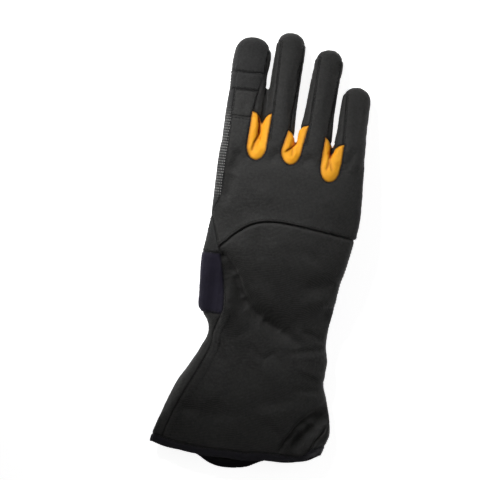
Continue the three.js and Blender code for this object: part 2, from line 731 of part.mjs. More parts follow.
// The thumb's own territory lies under the palm, past the seam where it leaves it.
const thumbTop = thumbDepth + thumbClearance / 2;
const thumbSeamY = thumbY(0.43);
const thumbRoom = thumbSolid(2 * seamGap);
const pastThumbSeam = [
  [thumbSeamY, thumbTop],
  [farAway, thumbTop],
  [farAway, -farAway],
  [thumbSeamY - thumbSeamSlant, -farAway],
  [thumbSeamY - thumbSeamSlant, 0],
];
const thumbZone = (grow) => thumbRoom.intersect(sidewaysCutter(pastThumbSeam, grow));
const thumbLine = thumbShaft.map(({ along, x, drop }) => [
  thumbY(along),
  thumbZ(xOf(x), thumbY(along), drop),
]);
const thumbEnd = [farAway, thumbOnFloor];
const thumbUnder = (grow) =>
  sidewaysCutter([...thumbLine, thumbEnd, [farAway, -farAway], [thumbLine[0][0], -farAway]], grow);
const bodyShell = minus(wholeShell, thumbZone(seamGap));

// Territories of the pieces, each also in a form grown by the seam's gap
const gussetCutters = gussets.map((g) => {
  const top = gussetOutline(g, gussetWidth, gussetLength);
  const level = { ...g, foot: 0.5, lean: 0, open: 0, leftRise: 0.35, rightRise: 0.35 };
  const under = gussetOutline(level, palmGussetWidth, palmGussetLength);
  const name = `gusset_${g.between.join("_")}`;
  return { name, exact: around(top, under), grown: around(top, under, seamGap) };
});
const grownGussets = gussetCutters.map((g) => g.grown);

const backHand = [
  ...wrapLine,
  [fingerX(fingers.index, 0) + (indexWrapSeam * indexWidth) / 2, palmLength],
  [farAway, palmLength],
  [farAway, -farAway],
  [cuffPoint(cuffSeam[cuffSeam.length - 1])[0], -farAway],
];
const between = (left, right) => [
  strip(fingers.middle, sideSeams.other, left, right),
  strip(fingers.ring, sideSeams.other, left, right),
  strip(fingers.little, sideSeams.other, left, clearOfSide),
];
const backStrips = [
  strip(fingers.index, sideSeams.index, indexWrapSeam, "backRight"),
  ...between("backLeft", "backRight"),
];
const palmStrips = [
  strip(fingers.index, sideSeams.index, -clearOfSide, "palmRight"),
  ...between("palmLeft", "palmRight"),
];
const backZone = (grow) => joined([above(backHand, grow), ...backStrips.map((s) => above(s, grow))]);
const palmStripZone = (grow) => joined(palmStrips.map((s) => below(s, grow)));

const sidePieces = [
  { name: "side_strip_index", finger: "index", side: 1 },
  { name: "side_strip_middle_inner", finger: "middle", side: -1 },
  { name: "side_strip_middle_outer", finger: "middle", side: 1 },
  { name: "side_strip_ring_inner", finger: "ring", side: -1 },
  { name: "side_strip_ring_outer", finger: "ring", side: 1 },
  { name: "side_strip_little", finger: "little", side: -1 },
];

// Cutting the shell into its pieces
const pieces = new Map();
for (const g of gussetCutters) pieces.set(g.name, bodyShell.intersect(g.exact));

const downFrom = (points) => [...points, [farAway, -farAway], [-farAway, -farAway]];
const allBelow = (points, grow) => cutter(downFrom(points), grow);
const back = minus(bodyShell.intersect(backZone(0)), ...grownGussets);
pieces.set("cuff_back", back.intersect(allBelow(archLine, 0)));

// The index finger's cap and band go right round its outer side, as far as its side strip.
const indexEnd = crotchY(fingers.index) + indexLength;
const indexArea = (lowY) => {
  const rightEdge = (fingerX(fingers.index, 1) + fingerX(fingers.middle, 1)) / 2;
  return [
    [-farAway, lowY],
    [rightEdge, lowY],
    [rightEdge, farAway],
    [-farAway, farAway],
  ];
};
const capZone = (grow) => around(indexArea(indexEnd - capLength), indexArea(indexEnd - palmCapLength), grow);
const bandZone = (grow) => above(indexArea(indexEnd - capLength - bandLength), grow);
const indexTop = strip(fingers.index, sideSeams.index, -clearOfSide, "backRight");
const indexAround = around(indexTop, palmStrips[0]);
pieces.set("index_cap", bodyShell.intersect(capZone(0)).intersect(indexAround));
pieces.set("index_band", minus(bodyShell.intersect(bandZone(0)).intersect(above(indexTop)), capZone(seamGap)));
pieces.set("back_panel", minus(back, allBelow(archLine, seamGap), bandZone(seamGap)));

const backGrown = backZone(seamGap);
const palmStripsGrown = palmStripZone(seamGap);
const sideZones = [];
for (const { name, finger, side } of sidePieces) {
  const outline = sideZone(fingers[finger], side);
  const zone = cutter(outline);
  pieces.set(name, minus(bodyShell.intersect(zone), backGrown, palmStripsGrown, ...grownGussets));
  sideZones.push(minus(cutter(outline, seamGap), palmStripZone(0)));
}

const palmSide = minus(bodyShell, backGrown, ...grownGussets, ...sideZones);
const thumb = wholeShell.intersect(thumbZone(0));
pieces.set("thumb_pad", thumb.intersect(thumbUnder(0)));
pieces.set("thumb_back", minus(thumb, thumbUnder(seamGap)));

const heelTopLine = [
  [xOf(-1), heelCorner.at * palmLength - heelPoint],
  handPoint(heelCorner),
  [xOf(-0.3), heelCorner.at * palmLength],
  [xOf(1), heelCorner.at * palmLength],
];
const heelZone = (grow) => around(downFrom(heelTopLine), downFrom(heelLine), grow);
const elasticEdge = [
  [-farAway, elasticTop],
  [xOf(-0.3), elasticTop],
  [xOf(0.5), elasticTop + elasticSlope * heelBandWidth],
  [farAway, elasticTop + elasticSlope * heelBandWidth],
];
const cuffEdge = [
  [-farAway, elasticBottom],
  [farAway, elasticBottom],
];
const sidePanelZone = (grow) => {
  const line = thumbSideSeam.map(handPoint);
  const [first, last] = [line[0], line[line.length - 1]];
  const under = [...line, [last[0], -farAway], [-farAway, -farAway], [-farAway, first[1]]];
  return around(indexArea(0), under, grow);
};
const palmAboveHeel = minus(palmSide, heelZone(seamGap), capZone(seamGap), bandZone(seamGap));
pieces.set("thumb_side_panel", palmAboveHeel.intersect(sidePanelZone(0)));
pieces.set("palm_panel", minus(palmAboveHeel, sidePanelZone(seamGap)));
pieces.set("heel_band", minus(palmSide.intersect(heelZone(0)), allBelow(elasticEdge, seamGap)));
pieces.set("elastic_panel", minus(palmSide.intersect(allBelow(elasticEdge, 0)), allBelow(cuffEdge, seamGap)));
pieces.set("cuff_palm", palmSide.intersect(allBelow(cuffEdge, 0)));
pieces.set("hem_binding", binding);

const patchSkin = minus(skin(seamGap + patchThickness), skin(seamGap));
const patch = patchSkin.intersect(below(palmPatch.map(handPoint)));
pieces.set("palm_patch", minus(patch, thumbSolid(seamGap), ...grownGussets));

// Colours and finishes
const cloth = (color, roughness) => new THREE.MeshStandardMaterial({ color, roughness, metalness: 0 });
const softshell = cloth(0x2c2b2a, 0.85);
const suede = cloth(0x262626, 0.92);
const stretch = cloth(0xff9524, 0.6);
const elastic = cloth(0x1b1826, 0.8);
const braid = cloth(0x17161c, 0.55);
const finishes = {
  palm_panel: suede,
  palm_patch: suede,
  index_cap: suede,
  index_band: suede,
  thumb_pad: suede,
  thumb_side_panel: suede,
  heel_band: suede,
  elastic_panel: elastic,
  hem_binding: braid,
};

// The glove stands with the middle of its base on the origin.
const glove = new THREE.Group();
glove.name = "gardening_glove";
for (const [name, solid] of pieces) {
  const mesh = largest(solid).simplify(sliver).getMesh();
  const geometry = new THREE.BufferGeometry();
  geometry.setAttribute("position", new THREE.BufferAttribute(mesh.vertProperties, 3));
  geometry.setIndex(new THREE.BufferAttribute(mesh.triVerts, 1));
  const finish = name.startsWith("gusset") ? stretch : (finishes[name] ?? softshell);
  const piece = new THREE.Mesh(geometry, finish);
  piece.name = name;
  glove.add(piece);
}
const extent = new THREE.Box3().setFromObject(glove);
const middle = extent.getCenter(new THREE.Vector3());
for (const piece of glove.children) {
  piece.geometry.translate(-middle.x, -middle.y, -extent.min.z);
}

export default glove;
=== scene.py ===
# %% [markdown]
# # A gardening glove with a gauntlet cuff
# The glove lies palm down with its thumb folded under the palm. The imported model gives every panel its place.
# This lesson builds the same panels again as cloth: one smooth skin is made, it is cut along the sewing lines,
# and each panel then gets its seams, stitches, folds and fabric. Sizes are in millimetres, in the pattern's own
# frame, until the last moment: x runs across the hand, and y from the wrist towards the fingertips.

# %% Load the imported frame
import math

import bpy
import numpy as np
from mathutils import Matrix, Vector, kdtree


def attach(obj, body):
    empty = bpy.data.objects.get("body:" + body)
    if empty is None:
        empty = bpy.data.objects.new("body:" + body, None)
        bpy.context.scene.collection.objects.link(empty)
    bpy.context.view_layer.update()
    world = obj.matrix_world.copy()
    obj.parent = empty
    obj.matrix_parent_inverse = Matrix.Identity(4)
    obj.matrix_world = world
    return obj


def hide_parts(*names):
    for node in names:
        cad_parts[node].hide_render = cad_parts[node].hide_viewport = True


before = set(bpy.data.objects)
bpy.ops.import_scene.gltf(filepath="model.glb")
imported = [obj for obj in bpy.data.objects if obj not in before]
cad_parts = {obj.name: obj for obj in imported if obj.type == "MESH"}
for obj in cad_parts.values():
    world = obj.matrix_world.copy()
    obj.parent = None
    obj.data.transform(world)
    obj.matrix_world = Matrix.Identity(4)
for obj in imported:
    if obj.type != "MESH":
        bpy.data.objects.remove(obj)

bpy.context.view_layer.update()

# %% [markdown]
# ## The sizes of the glove
# A glove is drafted from a few measures: the length of the palm and of each finger, the width across the
# knuckles and at the hem. Everything else is a share of those, kept in short tables with one row per section.
# A smooth curve runs through each column, so a table of ten rows is enough for a shape without corners.

# %% Sizes and the curve through a table
PALM, CUFF = 150.0, 93.0
HAND, WRIST, HEM = 113.0, 89.5, 133.0
PALM_DEPTH, WRIST_DEPTH, HEM_DEPTH, FINGER_DEPTH = 24.0, 23.0, 23.0, 19.0
THUMB_LENGTH, THUMB_WIDTH, THUMB_DEPTH = 75.0, 28.0, 13.0
CLOTH = 1.5
TO_ROW = np.array([7.27, -65.45, 0.0])


def smoothstep(low, high, v):
    t = np.clip((v - low) / (high - low), 0, 1)
    return t * t * (3 - 2 * t)


def curve(rows, column, at):
    """The value of one column at a place, on a smooth curve; a row's first number is its place."""
    keys, values = np.array([r[0] for r in rows], float), np.array([r[column] for r in rows], float)
    at, last = np.clip(at, keys[0], keys[-1]), len(keys) - 1
    slopes = [(values[min(last, j + 1)] - values[max(0, j - 1)]) / (keys[min(last, j + 1)] - keys[max(0, j - 1)])
              for j in range(last + 1)]
    slopes = np.array(slopes)
    i = np.clip(np.searchsorted(keys, at) - 1, 0, last - 1)
    span = keys[i + 1] - keys[i]
    t = (at - keys[i]) / span
    bend = t * (1 - t) * span * ((1 - t) * slopes[i] - t * slopes[i + 1])
    return values[i] + (values[i + 1] - values[i]) * t * t * (3 - 2 * t) + bend


# %% [markdown]
# ## How the glove rests
# The middle surface between back and palm isn't level. It is low at the hem, rises over the folded thumb, and
# droops again towards the fingertips. Every section hangs on this surface, so that the whole glove lies down in
# one go and no piece has to be bent later.

# %% Fingers and the middle surface
# name, length, width, width at the tip, x at the root, x at the tip, y of the crotch
FINGERS = {
    "index": (76.3, 28.4, 28.6, -35.54, -34.40, 150.0),
    "middle": (83.5, 25.0, 22.6, -7.89, -5.97, 150.0),
    "ring": (75.0, 26.0, 22.0, 20.36, 24.42, 149.25),
    "little": (49.4, 25.0, 22.4, 47.86, 48.53, 148.5),
}
PALM_REST, WRIST_REST, HEM_REST, FINGER_REST, THUMB_REST = 27.4, 13.5, 11.5, 9.0, 6.0


def rest_height(x, y):
    cuff = HEM_REST + (WRIST_REST - HEM_REST) * smoothstep(-0.5 * CUFF, 0, y)
    palm = cuff + (PALM_REST - cuff) * smoothstep(-0.1 * PALM, 0.5 * PALM, y)
    start = 0.8 * PALM
    flat = [(tip_x, crotch + 0.84 * length) for length, _, _, _, tip_x, crotch in FINGERS.values()]
    droop = np.clip((y - start) / (curve(flat, 1, x) - start), 0, 1)
    return palm + (FINGER_REST - palm) * droop * droop * (1.9 - 0.9 * droop)


def hem_lift(x, y):
    """How the hem strays from a straight line: both corners rise, and it bows out a little between them."""
    right, left = smoothstep(0.2 * HEM, 0.46 * HEM, x), smoothstep(0.36 * HEM, 0.59 * HEM, -x)
    rise = 11 * right * right + 4 * left * left - 2.3 * np.exp(-((x + 0.16 * HEM) / (0.22 * HEM)) ** 2)
    return rise * smoothstep(0.6 * CUFF, CUFF, -y)


def hem_drop(x, y):
    """How far the palm's side of the hem hangs out below the back's."""
    return 7.4 * np.exp(-((x + 0.11 * HEM) / (0.165 * HEM)) ** 4) * smoothstep(0.6 * CUFF, CUFF, -y)


# %% [markdown]
# ## Folds of the cuff
# Cloth that narrows at the wrist and flares at the hem can't lie flat: it makes long soft valleys and ridges.
# Each fold is a line with a width and a rise, and its height dies away from the line like a bell.
# The first rows are the glove's main folds. The others are the small dimples between them.

# %% Folds
# x1, y1, x2, y2, half width, rise
FOLDS = [
    (-35.9, 53.9, -13.3, 20.5, 7.3, -3.7), (-13.3, 20.5, 22.6, 1.9, 8.0, -3.5), (-31.3, 33.5, -29.3, 1.9, 5.3, 2.8),
    (58.5, -46.5, 31.9, -83.7, 6.6, -6.0), (46.6, -68.8, 47.9, -91.1, 6.0, 3.2), (-47.9, -18.6, -66.5, -74.4, 6.6, 2.3),
    (39.9, 23.3, 55.9, 18.6, 9.3, -2.8), (-39.9, -61.4, -26.6, -67.0, 9.3, -2.3),
]
CREASES = [
    (-39.2, 60.7, -26.5, 44.5, 3.2, -3.1), (-26.5, 44.5, -19.0, 27.7, 3.0, -3.2), (-19.0, 27.7, -2.6, 12.8, 3.4, -2.6),
    (-2.6, 12.8, 12.2, 5.4, 3.4, -2.7), (12.2, 5.4, 30.2, -3.2, 4.2, -1.6), (-32.5, 24.6, -17.9, -0.6, 5.0, 1.6),
    (-17.9, -0.6, 1.6, -21.3, 6.0, 1.3), (1.6, -21.3, 20.9, -34.3, 7.0, 1.3), (-14.0, 40.0, 6.0, 22.0, 6.0, 1.3),
    (-10.9, -7.4, 1.2, -17.5, 2.6, -1.3), (1.2, -17.5, 10.3, -10.2, 2.2, -0.8), (27.2, 39.6, 49.4, 46.9, 6.0, -2.2),
    (24.0, 28.0, 50.0, 34.0, 5.0, 1.1), (16.8, 30.6, 27.2, 8.8, 4.0, -1.1), (19.7, 69.5, 34.5, 62.0, 4.0, -0.9),
    (-15.8, 76.6, -8.0, 56.8, 4.0, -1.0), (0.0, 74.0, 6.0, 52.0, 5.0, 0.8), (28.0, 8.0, 47.0, 2.0, 2.6, -1.1),
    (22.0, -10.0, 48.0, -4.0, 2.6, -1.2), (30.0, -20.0, 49.0, -26.0, 3.0, 0.9), (26.0, -38.0, 47.0, -36.0, 3.0, -1.1),
    (-36.0, -8.0, -26.0, -24.0, 3.0, -1.0), (-44.0, -24.0, -36.0, -44.0, 3.6, -1.0), (-34.0, -52.0, -22.0, -66.0, 5.0, -1.2),
    (-20.0, -66.0, -6.0, -78.0, 5.0, 1.0), (4.0, -62.0, 22.0, -76.0, 5.0, -1.2), (-58.4, -59.4, -41.0, -62.7, 4.5, -1.5),
    (0.0, -52.3, 33.7, -44.3, 6.0, -1.6), (38.0, -58.0, 54.0, -66.0, 2.6, 1.1), (48.5, -51.7, 36.0, -63.2, 3.0, -2.6),
    (36.0, -63.2, 23.4, -85.6, 2.4, -2.4), (40.3, -66.6, 39.9, -82.0, 2.6, 1.6), (56.8, -63.0, 49.3, -77.0, 2.2, -2.4),
    (49.3, -77.0, 45.9, -83.0, 1.8, -1.8), (-35.1, 139.7, -38.8, 120.0, 4.5, -2.0), (-38.8, 120.0, -41.8, 100.4, 3.8, -1.9),
    (-12.6, 132.4, -4.6, 141.9, 4.2, -1.7), (11.8, 133.9, 20.3, 140.3, 4.2, -1.7), (45.6, 134.2, 53.1, 149.0, 4.0, -1.3),
    (-24.0, 112.0, -6.0, 104.0, 6.0, 0.8), (6.0, 118.0, 28.0, 108.0, 7.0, -0.7), (34.0, 112.0, 50.0, 96.0, 6.0, 0.7),
    (-30.0, 96.0, -12.0, 92.0, 5.0, -0.7), (-37.0, 176.0, -33.0, 160.0, 2.6, -0.8), (2.0, 160.0, -2.0, 200.0, 3.0, -1.0),
    (28.0, 160.0, 27.0, 196.0, 3.0, -0.9), (52.0, 160.0, 50.0, 182.0, 3.0, -0.8), (-46.0, 163.6, -26.0, 165.0, 0.9, -0.7),
]
# the deep creases between the arms of the webs, then the tucks below them
WEB_CREASES = [
    (-22.2, 168.0, -22.6, 161.0, 1.6, -3.4), (-22.6, 161.0, -22.9, 153.0, 1.0, -3.0),
    (-22.9, 153.0, -25.7, 144.7, 0.8, -1.6), (-25.7, 144.7, -25.8, 139.3, 0.9, -1.3),
    (6.4, 160.0, 6.9, 149.0, 1.1, -2.6), (6.9, 148.7, -0.7, 141.6, 0.9, -1.9), (4.4, 145.0, 4.9, 138.5, 0.8, -1.0),
    (34.6, 149.0, 33.3, 140.4, 1.0, -2.5), (33.3, 140.4, 31.8, 131.5, 0.8, -1.5), (34.0, 137.5, 36.0, 131.0, 0.8, -1.1),
]
ELASTIC_FOLDS = [(-43.0, 60.0, -42.0, 14.0, 3.4, -0.9), (-38.5, 58.0, -38.0, 16.0, 2.2, 0.5)]


def fold_height(x, y, folds):
    height = np.zeros_like(x)
    for ax, ay, bx, by, half, rise in folds:
        dx, dy = bx - ax, by - ay
        t = np.clip(((x - ax) * dx + (y - ay) * dy) / (dx * dx + dy * dy), 0, 1)
        away = np.hypot(x - ax - t * dx, y - ay - t * dy) / half
        height += rise * np.exp(-away * away) * np.minimum(1, 4 * t * (1 - t) + 0.35)
    return height


# %% [markdown]
# ## One skin for the whole glove
# The hand with its cuff, each finger and the thumb are lofts: rings of points joined to a closed tube. Where the
# tubes meet, real cloth runs on in one piece. A voxel remesh fuses the tubes into one skin, and a few rounds of
# smoothing soften the creases where they met. Modelling the webs between the fingers by hand would take far
# longer and would show.

# %% Sections of the hand, the cuff, the fingers and the thumb
# place along the palm, share of the way from the wrist's width to the hand's, centre, upper and lower depth
PALM_SECTIONS = [
    (0.0, 0.0, 0.026, 1.0, 1.0), (0.045, 0.09, 0.021, 1.0, 1.0), (0.089, 0.32, 0.004, 1.02, 1.0),
    (0.117, 0.5, -0.008, 1.03, 1.0), (0.2, 0.6, -0.005, 1.05, 1.0), (0.3, 0.72, -0.002, 1.08, 1.0),
    (0.413, 0.84, 0.012, 1.1, 1.0), (0.533, 0.92, 0.035, 1.1, 1.0), (0.62, 1.0, 0.049, 1.08, 1.0),
    (0.72, 1.0, 0.05, 1.03, 0.98), (0.81, 0.99, 0.048, 0.93, 0.91), (0.88, 0.97, 0.046, 0.79, 0.78),
    (0.94, 0.93, 0.045, 0.58, 0.58), (0.985, 0.86, 0.045, 0.3, 0.3),
]
# place along the cuff, share of the way from the wrist's width to the hem's, centre, upper and lower depth
CUFF_SECTIONS = [
    (0.0, 0.0, 0.022, 1.0, 1.0), (0.065, 0.05, 0.0226, 1.01, 1.0), (0.129, 0.154, 0.017, 1.03, 1.0),
    (0.196, 0.228, 0.005, 1.05, 1.0), (0.264, 0.283, -0.009, 1.08, 1.0), (0.33, 0.354, -0.021, 1.1, 1.0),
    (0.436, 0.568, -0.027, 1.13, 1.0), (0.58, 0.798, -0.032, 1.14, 1.0), (0.727, 0.947, -0.045, 1.1, 1.0),
    (0.855, 0.99, -0.06, 1.05, 1.0), (1.0, 0.93, -0.082, 1.0, 1.0),
]
# place along the finger, taper, roundness, depth
SHAFT = [
    (-0.62, 0, 0.6, 0.3), (-0.36, 0, 0.86, 0.78), (-0.12, 0, 0.97, 1.0),
    (0.1, 0.2, 1.0, 1.02), (0.34, 0.8, 1.0, 1.0), (0.6, 1.0, 1.0, 0.98),
]
# place along the thumb, x as a share of the hand's width, drop to the floor, roundness
THUMB = [
    (0.0, -0.31, 0.12, 0.8), (0.13, -0.3, 0.36, 0.95), (0.27, -0.28, 0.68, 1.0), (0.4, -0.255, 0.93, 1.0),
    (0.54, -0.225, 1.0, 1.0), (0.7, -0.19, 1.0, 1.0), (1.0, -0.165, 1.0, 1.0),
]


def rounded_section(turns, half, up, down, square):
    """x and z of a rounded section; square makes its corners fuller."""
    c, s = np.cos(turns), np.sin(turns)
    x = half * np.sign(c) * np.abs(c) ** (2 / square)
    return x, np.where(s > 0, up, down) * np.sign(s) * np.abs(s) ** (2 / square)


def hand_rings():
    share = (np.arange(90) + 0.5) / 90
    turns = 0.45 * np.pi * share + 0.55 * np.arccos(1 - 2 * share)
    turns = np.concatenate([turns, np.pi + turns])
    rings = []
    for y in np.arange(-CUFF - 15, 0.985 * PALM + 0.1, 1.5):
        if y < 0:
            at, wide, table = min(1, -y / CUFF), HEM, CUFF_SECTIONS
            depth = WRIST_DEPTH + (HEM_DEPTH - WRIST_DEPTH) * at
        else:
            at, wide, table = y / PALM, HAND, PALM_SECTIONS
            depth = WRIST_DEPTH + (PALM_DEPTH - WRIST_DEPTH) * min(1, 3 * at)
        width, centre, up, down = (curve(table, k, at) for k in (1, 2, 3, 4))
        half = (WRIST + (wide - WRIST) * width) / 2
        dx, dz = rounded_section(turns, half, up * depth / 2, down * depth / 2 + (1 if y < 0 else 0), 2.5)
        x = centre * wide + dx
        fold = smoothstep(0, 0.3 * up * depth, dz) * fold_height(x, np.full_like(x, max(y, -CUFF)), FOLDS)
        z = np.maximum(rest_height(x, np.full_like(x, y)) + dz + fold, 0)
        along = y + hem_lift(x, max(y, -CUFF)) - np.where(dz < 0, hem_drop(x, max(y, -CUFF)), 0)
        rings.append(np.stack([x, along, z], 1))
    end = 1.005 * PALM
    rings.append(np.repeat([[0.045 * HAND, end, float(rest_height(0.045 * HAND, end))]], len(turns), 0))
    return np.array(rings)


def tip_rings(tip_y, width):
    """Stations of a rounded fingertip: y, roundness and depth."""
    bend = np.linspace(0, 0.5 * np.pi, 16)
    back = 0.6 * (1 - np.sin(bend))
    round_ = (1 - (1 - back / 0.6) ** 2.3) ** (1 / 2.3)
    return [(tip_y - b * width, r, 0.94 * r) for b, r in zip(back, round_)]


def tube_rings(rows):
    """Rings for rows of x, y, half width, half height and a function that gives the middle's height."""
    turns = (np.arange(56) + 0.5) / 56 * 2 * np.pi
    rings = []
    for x, y, half, high, middle in rows:
        dx, dz = rounded_section(turns, half, high, high, 2.25)
        rings.append(np.stack([x + dx, np.full_like(dx, y), np.maximum(middle(x + dx, y) + dz, 0)], 1))
    return np.array(rings)


def side_fullness(along):
    """The index finger's side is full low down, where it meets the middle finger's, and hollow higher up."""
    return 2.0 * math.exp(-((along - 0.32) / 0.14) ** 2) - 1.0 * math.exp(-((along - 0.62) / 0.12) ** 2)


def finger_rings(length, width, tip_width, root_x, tip_x, crotch):
    rows = []
    for along in np.arange(-0.62, 1 - 0.6 * tip_width / length, 1.4 / length):
        taper, round_, depth = (float(curve(SHAFT, k, along)) for k in (1, 2, 3))
        half = (width + (tip_width - width) * taper) / 2 * round_
        x = np.interp(along, [0, 0.6, 0.8], [root_x, root_x + 0.6 * (tip_x - root_x), tip_x])
        full = side_fullness(along) if width == FINGERS["index"][1] else 0
        rows.append((x + full / 2, crotch + along * length, half + full / 2, FINGER_DEPTH / 2 * depth, rest_height))
    for y, round_, depth in tip_rings(crotch + length, tip_width):
        rows.append((tip_x, y, tip_width / 2 * round_, FINGER_DEPTH / 2 * depth, rest_height))
    return tube_rings(rows)


def thumb_middle(y):
    """x and height of the thumb's middle line."""
    along = (y - 0.43 * PALM) / THUMB_LENGTH
    x, drop = HAND * curve(THUMB, 1, along), curve(THUMB, 2, along)
    return x, rest_height(x, y) + (THUMB_REST - rest_height(x, y)) * drop


def thumb_rings():
    start, rows = 0.43 * PALM, []
    for y in np.arange(start, start + THUMB_LENGTH - 0.6 * THUMB_WIDTH, 1.4):
        x, z = thumb_middle(np.array(y))
        half = THUMB_WIDTH / 2 * float(curve(THUMB, 3, (y - start) / THUMB_LENGTH))
        rows.append((float(x), y, half, THUMB_DEPTH / 2, lambda _x, _y, z=float(z): z))
    for y, round_, depth in tip_rings(start + THUMB_LENGTH, THUMB_WIDTH):
        x, z = thumb_middle(np.array(y))
        rows.append((float(x), y, THUMB_WIDTH / 2 * round_, THUMB_DEPTH / 2 * depth, lambda _x, _y, z=float(z): z))
    return tube_rings(rows)


# %% Fuse the tubes into one skin
def closed_tube(rings):
    """Points and faces of a tube of rings with both ends closed."""
    count, sides = rings.shape[:2]
    points = np.concatenate([rings.reshape(-1, 3), rings[0].mean(0)[None], rings[-1].mean(0)[None]])
    r, i = np.meshgrid(np.arange(count - 1), np.arange(sides), indexing="ij")
    a, b = (r * sides + i).ravel(), (r * sides + (i + 1) % sides).ravel()
    faces = [*np.stack([a, b, b + sides, a + sides], 1).tolist()]
    last, start = (count - 1) * sides, count * sides
    for k in range(sides):
        faces.append([start, (k + 1) % sides, k])
        faces.append([start + 1, last + k, last + (k + 1) % sides])
    return points, faces


def fused_skin(tubes, voxel):
    """One skin round all the tubes, as points and triangles."""
    points, faces = np.zeros((0, 3)), []
    for tube in tubes:
        more, its_faces = closed_tube(tube)
        faces += [[v + len(points) for v in f] for f in its_faces]
        points = np.concatenate([points, more])
    mesh = bpy.data.meshes.new("skin")
    mesh.from_pydata(points.tolist(), [], faces)
    body = bpy.data.objects.new("skin", mesh)
    bpy.context.collection.objects.link(body)
    remesh = body.modifiers.new("fuse", "REMESH")
    remesh.mode, remesh.voxel_size, remesh.adaptivity = "VOXEL", voxel, 0
    done = body.evaluated_get(bpy.context.evaluated_depsgraph_get()).to_mesh()
    done.calc_loop_triangles()
    out = np.empty(len(done.vertices) * 3)
    done.vertices.foreach_get("co", out)
    tris = np.empty(len(done.loop_triangles) * 3, np.int64)
    done.loop_triangles.foreach_get("vertices", tris)
    bpy.data.objects.remove(body)
    return out.reshape(-1, 3), tris.reshape(-1, 3)


def edges_of(tris):
    """Each edge once, and the edge of each triangle's three sides."""
    sides = np.sort(tris[:, [0, 1, 1, 2, 2, 0]].reshape(-1, 2), axis=1)
    keys, place = np.unique(sides[:, 0] * (1 << 32) + sides[:, 1], return_inverse=True)
    return np.stack([keys >> 32, keys & 0xFFFFFFFF], 1), place.reshape(-1, 3)


def smoothed(points, tris, rounds, share=0.5, weight=None):
    """Points drawn towards the middle of their neighbours."""
    edges, _ = edges_of(tris)
    a, b = edges.T
    count = np.bincount(edges.ravel(), minlength=len(points))[:, None]
    weight = share if weight is None else share * weight[:, None]
    for _ in range(rounds):
        total = np.stack([np.bincount(a, points[b, k], len(points)) + np.bincount(b, points[a, k], len(points))
                          for k in range(3)], 1)
        points = points + weight * (total / np.maximum(count, 1) - points)
    return points


def normals_of(points, tris):
    face = np.cross(points[tris[:, 1]] - points[tris[:, 0]], points[tris[:, 2]] - points[tris[:, 0]])
    total = np.stack([np.bincount(tris.ravel(), np.repeat(face[:, k], 3), len(points)) for k in range(3)], 1)
    return total / np.maximum(np.linalg.norm(total, axis=1, keepdims=True), 1e-12)


tubes = [hand_rings(), thumb_rings()] + [finger_rings(*size) for size in FINGERS.values()]
points, tris = fused_skin(tubes, 0.95)
points = smoothed(points, tris, 8)
points[:, 2] = np.maximum(points[:, 2], 0.05)
print("skin:", len(points), "points,", len(tris), "triangles")

# %% [markdown]
# ## The sewing lines
# A pattern piece ends where its sewing line runs. Each line is kept as a row of points and drawn as a smooth
# curve. From a closed outline, every point of the skin gets its distance to the line, below nought inside. Where
# that distance passes nought, the triangles are cut, so the edge of a panel is as crisp as a blade makes it.

# %% Lines and distances
FAR = 400.0


def drawn(line, step=1.5):
    """A row of points as a smooth curve through them, as dense as step."""
    p = np.array(line, float)
    p = np.concatenate([[2 * p[0] - p[1]], p, [2 * p[-1] - p[-2]]])
    out = []
    for a, b, c, d in zip(p, p[1:], p[2:], p[3:]):
        for t in np.linspace(0, 1, max(2, int(np.linalg.norm(c - b) / step)), endpoint=False):
            out.append(0.5 * (2 * b + (c - a) * t + (2 * a - 5 * b + 4 * c - d) * t * t + (3 * b - a - 3 * c + d) * t**3))
    return [list(q) for q in [*out, p[-2]]]


def distance_to(outline, xy):
    """The distance of each point to a closed outline, below nought inside."""
    x, y = xy[:, 0], xy[:, 1]
    near, inside = np.full(len(x), np.inf), np.zeros(len(x), bool)
    for (ax, ay), (bx, by) in zip(outline, [*outline[1:], outline[0]]):
        dx, dy = bx - ax, by - ay
        t = np.clip(((x - ax) * dx + (y - ay) * dy) / max(dx * dx + dy * dy, 1e-12), 0, 1)
        near = np.minimum(near, np.hypot(x - ax - t * dx, y - ay - t * dy))
        if ay != by:
            inside ^= ((ay > y) != (by > y)) & (x < ax + (y - ay) * dx / dy)
    return np.where(inside, -near, near)


def cut_along(points, tris, field, near=None):
    """Cuts the triangles where the field passes nought, at the points for which near holds."""
    where = np.ones(len(points), bool) if near is None else near(points)
    value = np.ones(len(points))
    value[where] = field(points[where])
    value[np.abs(value) < 0.12] = 0
    edges, sides = edges_of(tris)
    a, b = edges.T
    crossed = (value[a] * value[b] < 0) & where[a] & where[b]
    share = value[a[crossed]] / (value[a[crossed]] - value[b[crossed]])
    new = points[a[crossed]] + (points[b[crossed]] - points[a[crossed]]) * share[:, None]
    made = np.full(len(edges), -1)
    made[crossed] = len(points) + np.arange(crossed.sum())
    mids = made[sides]
    count = (mids >= 0).sum(1)
    out = [tris[count == 0]]
    for k in range(3):
        turn = [k, (k + 1) % 3, (k + 2) % 3]
        one = (count == 1) & (mids[:, k] >= 0)
        p, q, r = tris[one][:, turn].T
        m = mids[one, k]
        out += [np.stack([p, m, r], 1), np.stack([m, q, r], 1)]
        two = (count == 2) & (mids[:, turn[2]] < 0)
        p, q, r = tris[two][:, turn].T
        m, n = mids[two, k], mids[two, turn[1]]
        out += [np.stack([m, q, n], 1), np.stack([p, m, n], 1), np.stack([p, n, r], 1)]
    return np.concatenate([points, new]), np.concatenate(out)


# %% [markdown]
# ## The pattern
# The back is one panel from the arched seam to the fingertips. Black side strips run up between the fingers, with
# bright webs at their roots. The palm's material wraps round the index finger's side and caps its tip.
# Below lie the palm, the panel that runs to the thumb, the heel band and the elastic.

# %% Outlines of the panels
def hand_line(rows):
    return [[x * HAND, at * PALM] for x, at in rows]


def cuff_line(rows):
    return [[x * HEM, -at * CUFF] for x, at in rows]


